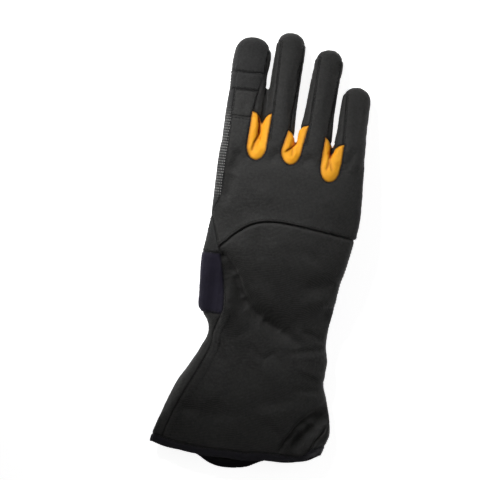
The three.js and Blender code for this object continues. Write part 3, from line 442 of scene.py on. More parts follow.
def down_from(line):
    return [*line, [FAR, line[-1][1]], [FAR, -FAR], [-FAR, -FAR], [-FAR, line[0][1]]]


CUFF_SEAM = [(-0.56, 1.3), (-0.52, 0.92), (-0.486, 0.76), (-0.403, 0.49), (-0.34, 0.29), (-0.291, 0.1), (-0.288, 0.0),
             (-0.245, -0.19)]
WRAP_SEAM = [(-0.296, 0.17), (-0.315, 0.28), (-0.352, 0.385), (-0.372, 0.43), (-0.44, 0.59), (-0.412, 0.67),
             (-0.397, 0.78), (-0.391, 0.92)]
ARCH = [(-0.6, 0.3), (-0.372, 0.43), (-0.278, 0.502), (-0.185, 0.553), (-0.088, 0.579), (0.014, 0.585), (0.14, 0.578),
        (0.3, 0.565), (0.7, 0.53)]
ELASTIC_BOTTOM, ELASTIC_TOP, HEEL_BAND = 13.6, 59.6, 14.5
HEEL = [(-0.7, 1.48), (-0.42, 1.17), (-0.2, 0.96), (0.1, 0.96), (0.35, 1.06), (0.7, 1.27)]
THUMB_SIDE = [(-0.425, 1.3), (-0.41, 1.1), (-0.39, 0.98), (-0.355, 0.88), (-0.3, 0.735), (-0.23, 0.657), (-0.12, 0.6),
              (-0.1, 0.4)]
PATCH = [
    (-0.335, 0.93), (-0.315, 0.84), (-0.265, 0.735), (-0.18, 0.69), (0.05, 0.68), (0.3, 0.685), (0.43, 0.715),
    (0.485, 0.79), (0.485, 0.9), (0.45, 0.955), (0.38, 0.95), (0.3, 0.885), (0.24, 0.95), (0.18, 0.975), (0.12, 0.955),
    (0.055, 0.885), (0.0, 0.955), (-0.07, 0.985), (-0.135, 0.955), (-0.19, 0.885), (-0.24, 0.955), (-0.3, 0.965),
]
# place along the finger, back left, back right, palm left, palm right, as shares of the half width
SIDES = {
    "index": [(-0.3, 0, 0.4, 0, 0.6), (0.1, 0, 0.45, 0, 0.66), (0.28, 0, 0.5, 0, 0.68), (0.5, 0, 0.64, 0, 0.7),
              (0.65, 0, 0.78, 0, 0.73), (1.1, 0, 0.88, 0, 0.76)],
    "other": [(-0.3, -0.4, 0.62, -0.86, 0.56), (0.1, -0.48, 0.74, -0.86, 0.62), (0.5, -0.6, 0.86, -0.86, 0.68),
              (1.1, -0.72, 0.86, -0.86, 0.74)],
}
SIDE_END = 0.9
# fingers, foot, lean, open, left rise, right rise
GUSSETS = [
    ("index", "middle", 0.47, -0.13, -0.06, 0.55, 0.55), ("middle", "ring", 0.46, -0.15, 0.08, 0.26, 0.41),
    ("ring", "little", 0.71, 0.02, 0.09, 0.22, 0.12),
]


def side_limit(name, column, side):
    """One long side of a finger's strip: a column of SIDES, or a fixed share of the half width below nought."""
    length, width, tip_width, root_x, tip_x, crotch = FINGERS[name]
    line = []
    for along in np.linspace(-0.42, SIDE_END, 14):
        half = (width + (tip_width - width) * float(curve(SHAFT, 1, along))) / 2
        share = float(curve(SIDES["index" if name == "index" else "other"], column, along))
        line.append([root_x + (tip_x - root_x) * along + half * share, crotch + along * length])
    wide = tip_x + side * 0.56 * width
    return [*line, [wide, crotch + SIDE_END * length], [wide, crotch + 1.1 * length]]


def straight_limit(name, share):
    length, width, _, root_x, _, crotch = FINGERS[name]
    x = root_x + share * width / 2
    return [[x, crotch - 0.42 * length], [x, crotch + 1.1 * length]]


def strip(left, right):
    return [*left, *reversed(right)]


def side_zone(name, side):
    length, width, _, root_x, tip_x, crotch = FINGERS[name]
    wide = side * 0.56 * width
    low, high = crotch - 0.03 * length, crotch + SIDE_END * length
    return [[root_x, low], [root_x + wide, low], [tip_x + wide, high], [tip_x, high]]


# the rounded top of a web's arm: inward from its outer corner to the slit, drop as a share of the web's length
ARM = [(0, 0), (0.45, 0.03), (0.8, 0.09), (1.0, 0.16)]


def gusset_outline(a, b, foot, lean, open_, left_rise, right_rise, width, length):
    (_, wide_a, _, xa, _, ya), (_, wide_b, _, xb, _, yb) = FINGERS[a], FINGERS[b]
    middle, crotch = (xa + wide_a / 2 + xb - wide_b / 2) / 2, min(ya, yb)
    low = crotch - foot * length
    bend = np.linspace(-0.5 * np.pi, 0.5 * np.pi, 17)
    foot_line = [[middle + lean * width + width / 2 * math.sin(t), low + 0.72 * width * (1 - math.cos(t))] for t in bend]

    def arm(side, climb):
        outer, slit = open_ + 0.5 * side, 0.07 * side
        return drawn([[middle + (outer + (slit - outer) * inward) * width, crotch + (climb - drop) * length]
                      for inward, drop in ARM], 0.8)

    slit_end = crotch + (min(left_rise, right_rise) - 0.24) * length
    return [*reversed(arm(-1, left_rise)), *foot_line, *arm(1, right_rise), [middle, slit_end]]


wrap = [*drawn(cuff_line(CUFF_SEAM)), *drawn(hand_line(WRAP_SEAM))]
index_left_x = FINGERS["index"][3] - 0.66 * FINGERS["index"][1] / 2
back_hand = [*wrap, [index_left_x, PALM], [FAR, PALM], [FAR, -FAR], [wrap[0][0], -FAR]]
others = ("middle", "ring")
back_strips = [strip(straight_limit("index", -0.66), side_limit("index", 2, 1)),
               *[strip(side_limit(n, 1, -1), side_limit(n, 2, 1)) for n in others],
               strip(side_limit("little", 1, -1), straight_limit("little", 1.5))]
palm_strips = [strip(straight_limit("index", -1.5), side_limit("index", 4, 1)),
               *[strip(side_limit(n, 3, -1), side_limit(n, 4, 1)) for n in others],
               strip(side_limit("little", 3, -1), straight_limit("little", 1.5))]
side_pieces = {
    "side_strip_index": ("index", 1), "side_strip_middle_inner": ("middle", -1),
    "side_strip_middle_outer": ("middle", 1), "side_strip_ring_inner": ("ring", -1),
    "side_strip_ring_outer": ("ring", 1), "side_strip_little": ("little", -1),
}
gusset_tops = [gusset_outline(*g, 15, 36) for g in GUSSETS]
gusset_unders = [gusset_outline(*g[:2], 0.5, 0, 0, 0.35, 0.35, 11, 17) for g in GUSSETS]
arch = down_from(drawn(hand_line(ARCH)))
heel = down_from(drawn([[x * HAND, ELASTIC_TOP + rise * HEEL_BAND] for x, rise in HEEL]))
heel_side = down_from([[-113, 82.5], [-49.7, 88.5], [-33.9, 88.5], [113, 88.5]])
elastic = down_from([[-33.9, ELASTIC_TOP], [56.5, ELASTIC_TOP + 3.6]])
thumb_side = drawn(hand_line(THUMB_SIDE))
side_panel = [*thumb_side, [thumb_side[-1][0], -FAR], [-FAR, -FAR], [-FAR, thumb_side[0][1]]]
patch = drawn(hand_line([*PATCH, PATCH[0]]))[:-1]
INDEX_END = 226.3
index_right = (FINGERS["index"][4] + FINGERS["middle"][4]) / 2


def index_area(low):
    return [[-FAR, low], [index_right, low], [index_right, FAR], [-FAR, FAR]]


cap_top, cap_under, band_top = index_area(INDEX_END - 27.5), index_area(INDEX_END - 38), index_area(INDEX_END - 41)


# %% Tests that say where a point of the skin lies
def above(p):
    """The height over the glove's middle surface."""
    return p[:, 2] - rest_height(p[:, 0], p[:, 1])


THUMB_END = 0.43 * PALM + THUMB_LENGTH + 3


def on_thumb(p):
    """True for points of the folded thumb, past the seam where it leaves the palm."""
    x, z = thumb_middle(p[:, 1])
    round_ = np.abs((p[:, 0] - x) / (THUMB_WIDTH / 2)) ** 2.25 + np.abs((p[:, 2] - z) / (THUMB_DEPTH / 2)) ** 2.25
    return (round_ < 1.32) & (p[:, 2] < 13.7) & (thumb_seam(p) > 0) & (p[:, 1] < THUMB_END)


def thumb_seam(p):
    return p[:, 1] - (87.75 + 9 * np.clip(p[:, 2] / 13.7, 0, 1))


def over_hem(p, height):
    end = np.full(len(p), -CUFF)
    return p[:, 1] - (height - CUFF + hem_lift(p[:, 0], end) - np.where(above(p) < 0, hem_drop(p[:, 0], end), 0))


def inside(outline, p):
    return distance_to(outline, p) < 0


# %% [markdown]
# ## Cutting the panels
# The skin is first parted along the middle surface, into the back's half and the palm's. Then each sewing line
# cuts it once more. After that, a panel is simply the set of triangles whose middles lie in its outline.

# %% Cut the skin
def box_near(outline, margin=3.0):
    o = np.array([q for q in outline if abs(q[0]) < FAR and abs(q[1]) < FAR])
    low, high = o.min(0) - margin, o.max(0) + margin
    return lambda p: (p[:, 0] > low[0]) & (p[:, 0] < high[0]) & (p[:, 1] > low[1]) & (p[:, 1] < high[1])


top_cuts = [back_hand, *back_strips, arch, cap_top, band_top, heel_side, *gusset_tops]
under_cuts = [*palm_strips, cap_under, heel, elastic, side_panel, patch, *gusset_unders]
side_cuts = [side_zone(*place) for place in side_pieces.values()]
points, tris = cut_along(points, tris, above)
for outline in top_cuts:
    box = box_near(outline)
    points, tris = cut_along(points, tris, lambda p: distance_to(outline, p), lambda p: box(p) & (above(p) > -1.5))
for outline in under_cuts:
    box = box_near(outline)
    points, tris = cut_along(points, tris, lambda p: distance_to(outline, p), lambda p: box(p) & (above(p) < 1.5))
for outline in side_cuts:
    points, tris = cut_along(points, tris, lambda p: distance_to(outline, p), box_near(outline))
points, tris = cut_along(points, tris, lambda p: p[:, 1] - ELASTIC_BOTTOM, lambda p: np.abs(p[:, 1] - ELASTIC_BOTTOM) < 3)
points, tris = cut_along(points, tris, thumb_seam, lambda p: (np.abs(p[:, 1] - 92) < 9) & (p[:, 2] < 14))
points, tris = cut_along(points, tris, lambda p: p[:, 2] - thumb_middle(p[:, 1])[1],
                         lambda p: (thumb_seam(p) > -2) & (p[:, 2] < 13.7) & (p[:, 1] < THUMB_END))
for height in (0.0, 6.0):
    points, tris = cut_along(points, tris, lambda p: over_hem(p, height), lambda p: p[:, 1] < -60)
tris = tris[over_hem(points[tris].mean(1), 0.0) > 0]
used = np.unique(tris)
renumber = np.full(len(points), -1)
renumber[used] = np.arange(len(used))
points, tris = points[used], renumber[tris]
print("cut skin:", len(points), "points,", len(tris), "triangles")


# %% Name the panel of every triangle
def panel_names(m):
    """The panel of each place on the skin."""
    back = above(m) > 0
    names = np.full(len(m), "palm_panel", dtype=object)
    names[inside(side_panel, m) & ~back] = "thumb_side_panel"
    names[back] = "thumb_side_panel"
    low_heel = np.where(back, inside(heel_side, m), inside(heel, m))
    names[low_heel] = "heel_band"
    names[np.where(back, m[:, 1] < ELASTIC_TOP, inside(elastic, m))] = "elastic_panel"
    names[m[:, 1] < ELASTIC_BOTTOM] = "cuff_palm"
    names[np.where(back, inside(cap_top, m), inside(cap_under, m))] = "index_cap"
    names[back & inside(band_top, m) & ~inside(cap_top, m)] = "index_band"
    strips_under = np.any([inside(s, m) for s in palm_strips], axis=0) & ~back
    for name, place in side_pieces.items():
        names[inside(side_zone(*place), m) & ~strips_under] = name
    is_back = back & (inside(back_hand, m) | np.any([inside(s, m) for s in back_strips], axis=0))
    names[is_back] = "back_panel"
    names[is_back & inside(arch, m)] = "cuff_back"
    names[is_back & inside(cap_top, m)] = "index_cap"
    names[is_back & inside(band_top, m) & ~inside(cap_top, m)] = "index_band"
    for g, top, under in zip(GUSSETS, gusset_tops, gusset_unders):
        names[np.where(back, inside(top, m), inside(under, m))] = f"gusset_{g[0]}_{g[1]}"
    thumb = on_thumb(m)
    names[thumb] = np.where(m[thumb, 2] < thumb_middle(m[thumb, 1])[1], "thumb_pad", "thumb_back")
    names[over_hem(m, 6.0) < 0] = "hem_binding"
    return names


names = panel_names(points[tris].mean(1))
rest = points.copy()
for name in sorted(set(names)):
    print(name, int((names == name).sum()), "triangles")

# %% [markdown]
# ## Seams in relief
# A seam pulls both panels down into a narrow groove, and a row of topstitching holds the folded allowance
# beside it, which makes a low welt. So each point needs its distance to the nearest seam. The seams are the
# edges between triangles of different panels, and a tree of points on them answers the question quickly.

# %% Distances to the seams
def seam_edges(tris, names):
    """The edges between two panels, and the two panels' names."""
    edges, sides = edges_of(tris)
    order = np.argsort(sides.ravel(), kind="stable")
    owner, edge = order // 3, sides.ravel()[order]
    twin = np.flatnonzero(edge[1:] == edge[:-1])
    one, two = names[owner[twin]], names[owner[twin + 1]]
    differ = one != two
    return edges[edge[twin[differ]]], one[differ], two[differ]


def tree_of(points, edges):
    ends = points[edges]
    samples = np.concatenate([ends[:, 0] * (1 - t) + ends[:, 1] * t for t in (0.0, 0.33, 0.67, 1.0)])
    tree = kdtree.KDTree(len(samples))
    for i, p in enumerate(samples.tolist()):
        tree.insert(p, i)
    tree.balance()
    return tree


def distances(tree, places):
    return np.array([tree.find(p)[2] for p in places.tolist()])


seams, seam_one, seam_two = seam_edges(tris, names)
seam_distance = distances(tree_of(points, seams), points)
print("seams:", len(seams), "edges")


def between(one, two):
    """The seam edges between two panels."""
    return seams[((seam_one == one) & (seam_two == two)) | ((seam_one == two) & (seam_two == one))]


# %% [markdown]
# ## Where the thread runs
# Each row names a panel, the panel across the seam, how far from the seam the stitches run, and how they are set.
# Straight rows hold down a folded edge, and a zigzag lies across a butted one.

# %% Rows of stitches
# panel, panel across the seam, distance, kind
STITCH_ROWS = [
    ("back_panel", "cuff_back", 2.4, "straight"), ("back_panel", "side_strip_index", 1.3, "straight"),
    ("back_panel", "side_strip_middle_inner", 1.3, "straight"), ("back_panel", "side_strip_middle_outer", 1.3, "straight"),
    ("back_panel", "side_strip_ring_inner", 1.3, "straight"), ("back_panel", "side_strip_ring_outer", 1.3, "straight"),
    ("back_panel", "side_strip_little", 1.3, "straight"), ("index_cap", "index_band", 1.4, "straight"),
    ("index_band", "back_panel", 1.4, "straight"), ("index_cap", "palm_panel", 1.4, "straight"),
    ("index_cap", "side_strip_index", 1.3, "straight"), ("back_panel", "thumb_side_panel", 1.1, "slant"),
    ("cuff_back", "elastic_panel", 1.5, "straight"), ("cuff_back", "heel_band", 1.5, "straight"),
    ("cuff_back", "cuff_palm", 6.4, "straight"), ("hem_binding", "cuff_back", 0.9, "straight"),
    ("hem_binding", "cuff_palm", 0.9, "straight"),
    ("heel_band", "palm_panel", 1.6, "straight"), ("heel_band", "palm_panel", 4.4, "straight"),
    ("heel_band", "thumb_side_panel", 1.6, "straight"), ("heel_band", "elastic_panel", 1.6, "straight"),
    ("palm_panel", "thumb_side_panel", 0.0, "zigzag"), ("thumb_side_panel", "thumb_pad", 1.4, "straight"),
    ("thumb_side_panel", "thumb_back", 1.4, "straight"), ("thumb_back", "thumb_pad", 1.4, "straight"),
    ("back_panel", "gusset_index_middle", 1.2, "straight"), ("back_panel", "gusset_middle_ring", 1.2, "straight"),
    ("back_panel", "gusset_ring_little", 1.2, "straight"), ("palm_panel", "gusset_index_middle", 1.2, "straight"),
    ("palm_panel", "gusset_middle_ring", 1.2, "straight"), ("palm_panel", "gusset_ring_little", 1.2, "straight"),
    ("elastic_panel", "cuff_palm", 1.6, "straight"),
]
panel_points = {name: np.unique(tris[names == name]) for name in sorted(set(names))}


def row_distance(panel, across):
    """For each point of a panel, its distance to the seam with the panel across; far away elsewhere."""
    value, edges = np.full(len(points), 99.0), between(panel, across)
    if across == "cuff_palm":
        edges = edges[points[edges[:, 0], 0] < 0.2 * HEM]
    if len(edges):
        mine = panel_points[panel]
        low, high = points[edges].reshape(-1, 3).min(0) - 9, points[edges].reshape(-1, 3).max(0) + 9
        mine = mine[np.all((points[mine] > low) & (points[mine] < high), axis=1)]
        value[mine] = distances(tree_of(points, edges), points[mine])
    return value


row_distances = {}
for panel, across, _, _ in STITCH_ROWS:
    if (panel, across) not in row_distances:
        row_distances[panel, across] = row_distance(panel, across)
print("stitch rows:", len(STITCH_ROWS))

# %% [markdown]
# ## Relief of the cloth
# The relief is added up from plain parts: the groove of every seam, the welt and the dint of every stitch row,
# puckers beside them, small creases, and a slow unevenness that no real cloth is without. The webs are puffed up
# beside a deep crease. The unevenness is a smooth random pattern with a fixed seed, so each run is the same.

# %% Relief
def soft_noise(x, y, size, seed):
    """A smooth random pattern between -1 and 1 with lumps of the given size."""
    grid = np.random.default_rng(seed).uniform(-1, 1, (256, 256))
    u, v = x / size + 77.3, y / size + 91.7
    i, j = np.floor(u).astype(int), np.floor(v).astype(int)
    s, t = u - i, v - j
    s, t = s * s * (3 - 2 * s), t * t * (3 - 2 * t)
    at = lambda a, b: grid[a % 256, b % 256]
    low = at(i, j) * (1 - s) + at(i + 1, j) * s
    high = at(i, j + 1) * (1 - s) + at(i + 1, j + 1) * s
    return low * (1 - t) + high * t


def bell(v, half):
    return np.exp(-(v / half) ** 2)


x, y = rest[:, 0], rest[:, 1]
on_back = above(rest) > 0
vertex_panel = np.empty(len(points), dtype=object)
for name, mine in panel_points.items():
    vertex_panel[mine] = name
is_gusset = np.array([str(n).startswith("gusset") for n in vertex_panel])
is_binding = vertex_panel == "hem_binding"
is_elastic = vertex_panel == "elastic_panel"
height_side = np.where(on_back, 1, 2)
slack = 0.5 + 0.5 * smoothstep(110, 70, y)
relief = slack * (0.9 * np.where(on_back, soft_noise(x, y, 25, 1), soft_noise(x, y, 25, 2))
                  + 0.4 * np.where(on_back, soft_noise(x, y, 10.5, 3), soft_noise(x, y, 10.5, 4)))
relief += 0.09 * soft_noise(x + 0.6 * rest[:, 2], y, 3.2, 5)
relief += np.where(on_back, fold_height(x, y, CREASES), 0)
relief -= np.where(is_gusset, 0.35, 0.6) * bell(seam_distance, 0.85)
pucker = soft_noise(x + y, y - x, 2.6, 6) * bell(seam_distance - 2.4, 2.6)
relief += 0.17 * pucker
for (panel, across, away, kind) in STITCH_ROWS:
    d = row_distances[panel, across]
    if kind == "straight":
        relief += 0.22 * smoothstep(0.3, 0.9, d) * (1 - smoothstep(away - 0.5, away + 0.3, d))
        relief -= 0.16 * bell(d - away, 0.5)
    else:
        relief += 0.12 * bell(d - away, 1.0)
relief += 0.5 * bell(row_distances["back_panel", "cuff_back"] - 1.8, 2.0)
relief -= 0.9 * bell(row_distance("cuff_back", "back_panel"), 1.5)
on_band = vertex_panel == "index_band"
relief -= np.where(on_band & on_back, 0.5 * bell(x - index_left_x, 0.8), 0)
cap_seam = row_distances["index_cap", "index_band"]
relief += np.where(on_back, 0.22 * np.sin(2 * np.pi * x / 2.3) * bell(cap_seam - 2.8, 2.2), 0)
facing = np.clip(normals_of(points, tris)[:, 2], 0, 1) ** 2
brow = 3.5 * np.log1p(np.exp(np.clip((-50 - y + 5 * soft_noise(x, 0 * y, 23, 10)) / 3.5, -30, 30)))
relief -= np.where(on_back, 0.14 * brow * facing, 0)
relief += 0.9 * soft_noise(x, 0 * y, 11, 9) * smoothstep(-66, -93, y)
web_crease = np.where(is_gusset & on_back, fold_height(x, y, WEB_CREASES), 0)
relief += np.where(is_gusset, 1.5 * smoothstep(0, 4.5, seam_distance), 0) + web_crease
relief += np.where(is_elastic, 0.06 * np.sin(2 * np.pi * x / 2.6) + fold_height(x, y, ELASTIC_FOLDS), 0)
relief += np.where(is_binding, 0.4 * np.sqrt(np.clip(1 - ((over_hem(rest, 0.0) - 3) / 3.2) ** 2, 0, 1)), 0)
normals = normals_of(points, tris)
points = points + normals * relief[:, None]
points[:, 1] += 0.8 * soft_noise(x, rest[:, 2], 13, 8) * smoothstep(-70, -93, y)
points = smoothed(points, tris, 1, 0.35)
points[:, 2] = np.maximum(points[:, 2], 0.03)
normals = normals_of(points, tris)
print("relief from", round(float(relief.min()), 2), "to", round(float(relief.max()), 2), "mm")

# %% [markdown]
# ## From triangles to panels of cloth
# Each panel becomes an object of its own. It gets an inner face, one cloth thickness below the outer one, and a
# rim between the two, so that it is a sheet with a real edge and the cuff shows its lining when seen from the
# hem. Each point keeps its distance to the nearest seam, which the fabrics use for their wear and for the painted
# shade that darkens the cloth in the seam's groove.

# %% Make the panels
def to_row(p):
    return (p + TO_ROW) * 0.001


def add_mesh(name, verts, faces, **values):
    mesh = bpy.data.meshes.new(name)
    mesh.from_pydata(verts.tolist(), [], faces.tolist())
    mesh.shade_smooth()
    for label, value in values.items():
        mesh.attributes.new(label, "FLOAT", "POINT").data.foreach_set("value", value.astype(np.float32))
    made = bpy.data.objects.new(name, mesh)
    bpy.context.collection.objects.link(made)
    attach(made, "root")
    return made


def sheet_of(name, outer, inner, tris, **values):
    """A sheet with an outer and an inner face and a rim round its edge."""
    n = len(outer)
    edges, sides = edges_of(tris)
    single = np.bincount(sides.ravel(), minlength=len(edges)) == 1
    ring = tris[:, [0, 1, 1, 2, 2, 0]].reshape(-1, 2)[single[sides.ravel()]]
    rim = np.concatenate([np.stack([ring[:, 1], ring[:, 0], ring[:, 0] + n], 1),
                          np.stack([ring[:, 1], ring[:, 0] + n, ring[:, 1] + n], 1)])
    faces = np.concatenate([tris, tris[:, ::-1] + n, rim])
    twice = {label: np.concatenate([value, value]) for label, value in values.items()}
    return add_mesh(name, to_row(np.concatenate([outer, inner])), faces, **twice)


def panel_mesh(tris_here):
    used = np.unique(tris_here)
    index = np.full(len(points), -1)
    index[used] = np.arange(len(used))
    return used, index[tris_here]


# panel, flat width and length in metres, how it is held, slot
PANELS = [
    ("back_panel", 0.150, 0.190, "laid", "softshell"), ("cuff_back", 0.140, 0.185, "laid", "softshell"),
    ("cuff_palm", 0.170, 0.112, "laid", "softshell"), ("palm_panel", 0.135, 0.165, "laid", "suede"),
    ("thumb_side_panel", 0.070, 0.140, "laid", "suede"), ("heel_band", 0.150, 0.030, "laid", "suede"),
    ("elastic_panel", 0.130, 0.052, "gathered", "elastic"), ("index_cap", 0.075, 0.044, "stretched", "suede"),
    ("index_band", 0.040, 0.018, "stretched", "suede"), ("thumb_pad", 0.042, 0.066, "laid", "suede"),
    ("thumb_back", 0.048, 0.066, "laid", "softshell"), ("hem_binding", 0.300, 0.010, "stretched", "braid"),
    ("side_strip_index", 0.014, 0.066, "stretched", "softshell"), ("side_strip_little", 0.016, 0.044, "stretched", "softshell"),
    ("side_strip_middle_inner", 0.016, 0.078, "stretched", "softshell"),
    ("side_strip_middle_outer", 0.016, 0.078, "stretched", "softshell"),
    ("side_strip_ring_inner", 0.016, 0.070, "stretched", "softshell"),
    ("side_strip_ring_outer", 0.016, 0.070, "stretched", "softshell"),
    ("gusset_index_middle", 0.030, 0.050, "stretched", "stretch"), ("gusset_middle_ring", 0.030, 0.050, "stretched", "stretch"),
    ("gusset_ring_little", 0.030, 0.050, "stretched", "stretch"),
]
beside_back = row_distance("thumb_side_panel", "back_panel")
grip = smoothstep(9.5, 7.0, beside_back) * smoothstep(98, 108, y) * smoothstep(174, 158, y)
pieces = {}
for name, wide, long_, held, slot in PANELS:
    mine = tris[names == name]
    used, local = panel_mesh(mine)
    inner = points[used] - normals[used] * CLOTH
    inner[:, 2] = np.maximum(inner[:, 2], 0.03)
    # fold is the depth of each web's crease, which the orange knit uses for painted shade in the crease
    piece = sheet_of(name + "_cloth", points[used], inner, local, seam=seam_distance[used],
                     grip=grip[used], fold=-web_crease[used])
    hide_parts(name)
    pieces[name] = piece

# %% The reinforcement on the palm
on_patch = (names == "palm_panel") & inside(patch, rest[tris].mean(1)) & (above(rest[tris].mean(1)) < 0)
used, local = panel_mesh(tris[on_patch])
edge = distance_to(patch, rest[used][:, :2])
lift = 0.25 + 0.95 * smoothstep(0, 1.2, -edge) - 0.25 * bell(edge + 2.2, 0.5)
patch_outer = points[used] + normals[used] * lift[:, None]
patch_outer[:, 2] = np.maximum(patch_outer[:, 2], 0.03)
# seam here is the distance inside the patch's border, so the wear and the painted seam shade run round its rim
pieces["palm_patch"] = sheet_of("palm_patch_cloth", patch_outer, points[used] + normals[used] * 0.05, local,
                                seam=-edge)
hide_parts("palm_patch")

# %% [markdown]
# ## Stitches
# A stitch is a short round bar of thread that bites into the cloth at both ends. Each row is found on the finished
# surface as the line at a fixed distance from its seam, so it follows every fold. Small capsules are then set
# along it. Real geometry catches the light as thread does, where a painted line would look flat.

# %% Find a row on the surface
def trace(field, level, mine):
    """The lines on the triangles where the field has this level, as rows of places and normals."""
    value = field - level
    value = np.where(value == 0, 1e-6, value)
    t = tris[mine]
    t = t[np.abs(value[t]).max(1) < 6]
    t = t[(np.sign(value[t]).sum(1) % 3 != 0) & (np.abs(np.sign(value[t]).sum(1)) == 1)]
    links, place = {}, {}
    for corner in t.tolist():
        ends = []
        for a, b in ((corner[0], corner[1]), (corner[1], corner[2]), (corner[2], corner[0])):
            if value[a] * value[b] < 0:
                key = (min(a, b), max(a, b))
                if key not in place:
                    s = value[key[0]] / (value[key[0]] - value[key[1]])
                    place[key] = np.concatenate([points[key[0]] * (1 - s) + points[key[1]] * s,
                                                 normals[key[0]] * (1 - s) + normals[key[1]] * s])
                ends.append(key)
        links.setdefault(ends[0], []).append(ends[1])
        links.setdefault(ends[1], []).append(ends[0])
    return chained(links, place)


def chained(links, place):
    lines, left = [], set(links)
    starts = [k for k in links if len(links[k]) == 1] + list(links)
    for start in starts:
        if start not in left:
            continue
        line, key = [], start
        while key is not None:
            left.discard(key)
            line.append(place[key])
            key = next((k for k in links[key] if k in left), None)
        if len(line) > 6:
            lines.append(np.array(line))
    return lines


def seam_line(one, two):
    """The seam between two panels itself, as rows of places and normals."""
    links, place = {}, {}
    for a, b in between(one, two).tolist():
        for key in (a, b):
            place[key] = np.concatenate([points[key], normals[key]])
        links.setdefault(a, []).append(b)
        links.setdefault(b, []).append(a)
    return chained(links, place)


def spaced(line, pitch):
    """Places, normals and directions at even spaces along a line."""
    kernel = np.ones(5) / 5
    if len(line) > 12:
        soft = np.stack([np.convolve(np.pad(line[:, k], 2, mode="edge"), kernel, "valid") for k in range(6)], 1)
        line = np.concatenate([line[:1], soft[1:-1], line[-1:]])
    step = np.linalg.norm(np.diff(line[:, :3], axis=0), axis=1)
    along = np.concatenate([[0], np.cumsum(step)])
    if along[-1] < 2 * pitch:
        return None
    at = np.arange(pitch / 2, along[-1], pitch)
    pick = lambda s: np.stack([np.interp(s, along, line[:, k]) for k in range(6)], 1)
    here, ahead = pick(at), pick(at + 0.3)
    behind = pick(at - 0.3)
    direction = ahead[:, :3] - behind[:, :3]
    unit = lambda v: v / np.maximum(np.linalg.norm(v, axis=1, keepdims=True), 1e-9)
    return here[:, :3], unit(here[:, 3:]), unit(direction)


def stitch_bars(centres, ups, ways, length, thick):
    """A capsule of thread at each centre, as points and faces."""
    ring = np.arange(6) / 6 * 2 * np.pi
    stations = [(-0.5, 0.35), (-0.36, 0.85), (0.0, 1.0), (0.36, 0.85), (0.5, 0.35)]
    sides = np.cross(ups, ways)
    verts = []
    for at, size in stations:
        sink = (0.24 - 0.55 * (1 - size)) * thick
        for turn in ring:
            verts.append(centres + ways * at * length + sides * math.cos(turn) * size * thick / 2
                         + ups * (math.sin(turn) * size * thick / 2 + sink))
    verts = np.stack(verts, 1)
    faces = []
    for s in range(len(stations) - 1):
        for k in range(6):
            a, b = s * 6 + k, s * 6 + (k + 1) % 6
            faces += [[a, b, b + 6], [a, b + 6, a + 6]]
    faces += [[0, k + 1, k] for k in range(1, 5)] + [[24, 24 + k, 25 + k] for k in range(1, 5)]
    shift = np.arange(len(verts))[:, None, None] * 30
    return verts.reshape(-1, 3), (np.array(faces)[None] + shift).reshape(-1, 3)


# %% Sew every row
def sewn(lines, kind):
    bars = []
    for line in lines:
        row = spaced(line, {"straight": 2.7, "slant": 1.8, "zigzag": 1.5}[kind])
        if row is None:
            continue
        places, ups, ways = row
        if kind == "straight":
            bars.append(stitch_bars(places, ups, ways, 2.1, 0.55))
        else:
            swing = np.where(np.arange(len(places)) % 2 == 0, 1.0, -1.0)[:, None]
            slant = 0.75 * ways + (0.6 if kind == "slant" else 1.1) * swing * np.cross(ups, ways)
            slant /= np.linalg.norm(slant, axis=1, keepdims=True)
            bars.append(stitch_bars(places, ups, slant, 1.9 if kind == "slant" else 3.2, 0.62))
    return bars


def joined_bars(name, bars):
    verts, faces, count = [], [], 0
    for v, f in bars:
        verts.append(v)
        faces.append(f + count)
        count += len(v)
    verts = np.concatenate(verts)
    verts[:, 2] = np.maximum(verts[:, 2], 0.02)
    made = add_mesh(name, to_row(verts), np.concatenate(faces))
    print(name, count // 30, "stitches")
    return made


dorsal, palmar, slanted = [], [], []
for panel, across, away, kind in STITCH_ROWS:
    lines = seam_line(panel, across) if kind == "zigzag" else trace(row_distances[panel, across], away, names == panel)
    on_top = panel in ("back_panel", "cuff_back", "index_band", "index_cap", "hem_binding")
    (slanted if kind == "slant" else dorsal if on_top else palmar).extend(sewn(lines, kind))
tuck = np.where((x > -47) & (x < -25) & on_back, y - 164.3, 99.0)
for level in (-1.2, 1.2):
    dorsal.extend(sewn(trace(tuck, level, names == "back_panel"), "straight"))
stitches_back = joined_bars("stitches_of_the_back", dorsal)
stitches_palm = joined_bars("stitches_of_the_palm", palmar)
stitches_side = joined_bars("stitches_of_the_index_side", slanted)

# %% [markdown]
# ## Fabrics
# Softshell is a tight knit with a dull, slightly heathered face. The palm's synthetic suede is a felt of fine
# fibres. The webs are a smooth stretch knit, and the elastic is ribbed. All of them share three effects, made once
# as node groups: a knit's grain, the slow change of tone that dust and handling leave, and the wear beside seams
# with painted shade in each seam's groove.

# %% Node groups
def new_group(name, inputs, outputs):
    group = bpy.data.node_groups.new(name, "ShaderNodeTree")
    for label, kind, value in inputs:
        socket = group.interface.new_socket(label, in_out="INPUT", socket_type=kind)
        socket.default_value = value
    for label, kind in outputs:
        group.interface.new_socket(label, in_out="OUTPUT", socket_type=kind)
    return group, group.nodes.new("NodeGroupInput"), group.nodes.new("NodeGroupOutput")


def math_node(group, kind, a, b=None, c=None):
    node = group.nodes.new("ShaderNodeMath")
    node.operation = kind
    for k, v in enumerate((a, b, c)):
        if v is None:
            continue
        if isinstance(v, (int, float)):
            node.inputs[k].default_value = v
        else:
            group.links.new(v, node.inputs[k])
    return node.outputs[0]


def noise_node(group, place, scale, detail=2.0, rough=0.5):
    node = group.nodes.new("ShaderNodeTexNoise")
    node.inputs["Detail"].default_value = detail
    node.inputs["Roughness"].default_value = rough
    group.links.new(place, node.inputs["Vector"])
    if isinstance(scale, (int, float)):
        node.inputs["Scale"].default_value = scale
    else:
        group.links.new(scale, node.inputs["Scale"])
    return node.outputs["Fac"]


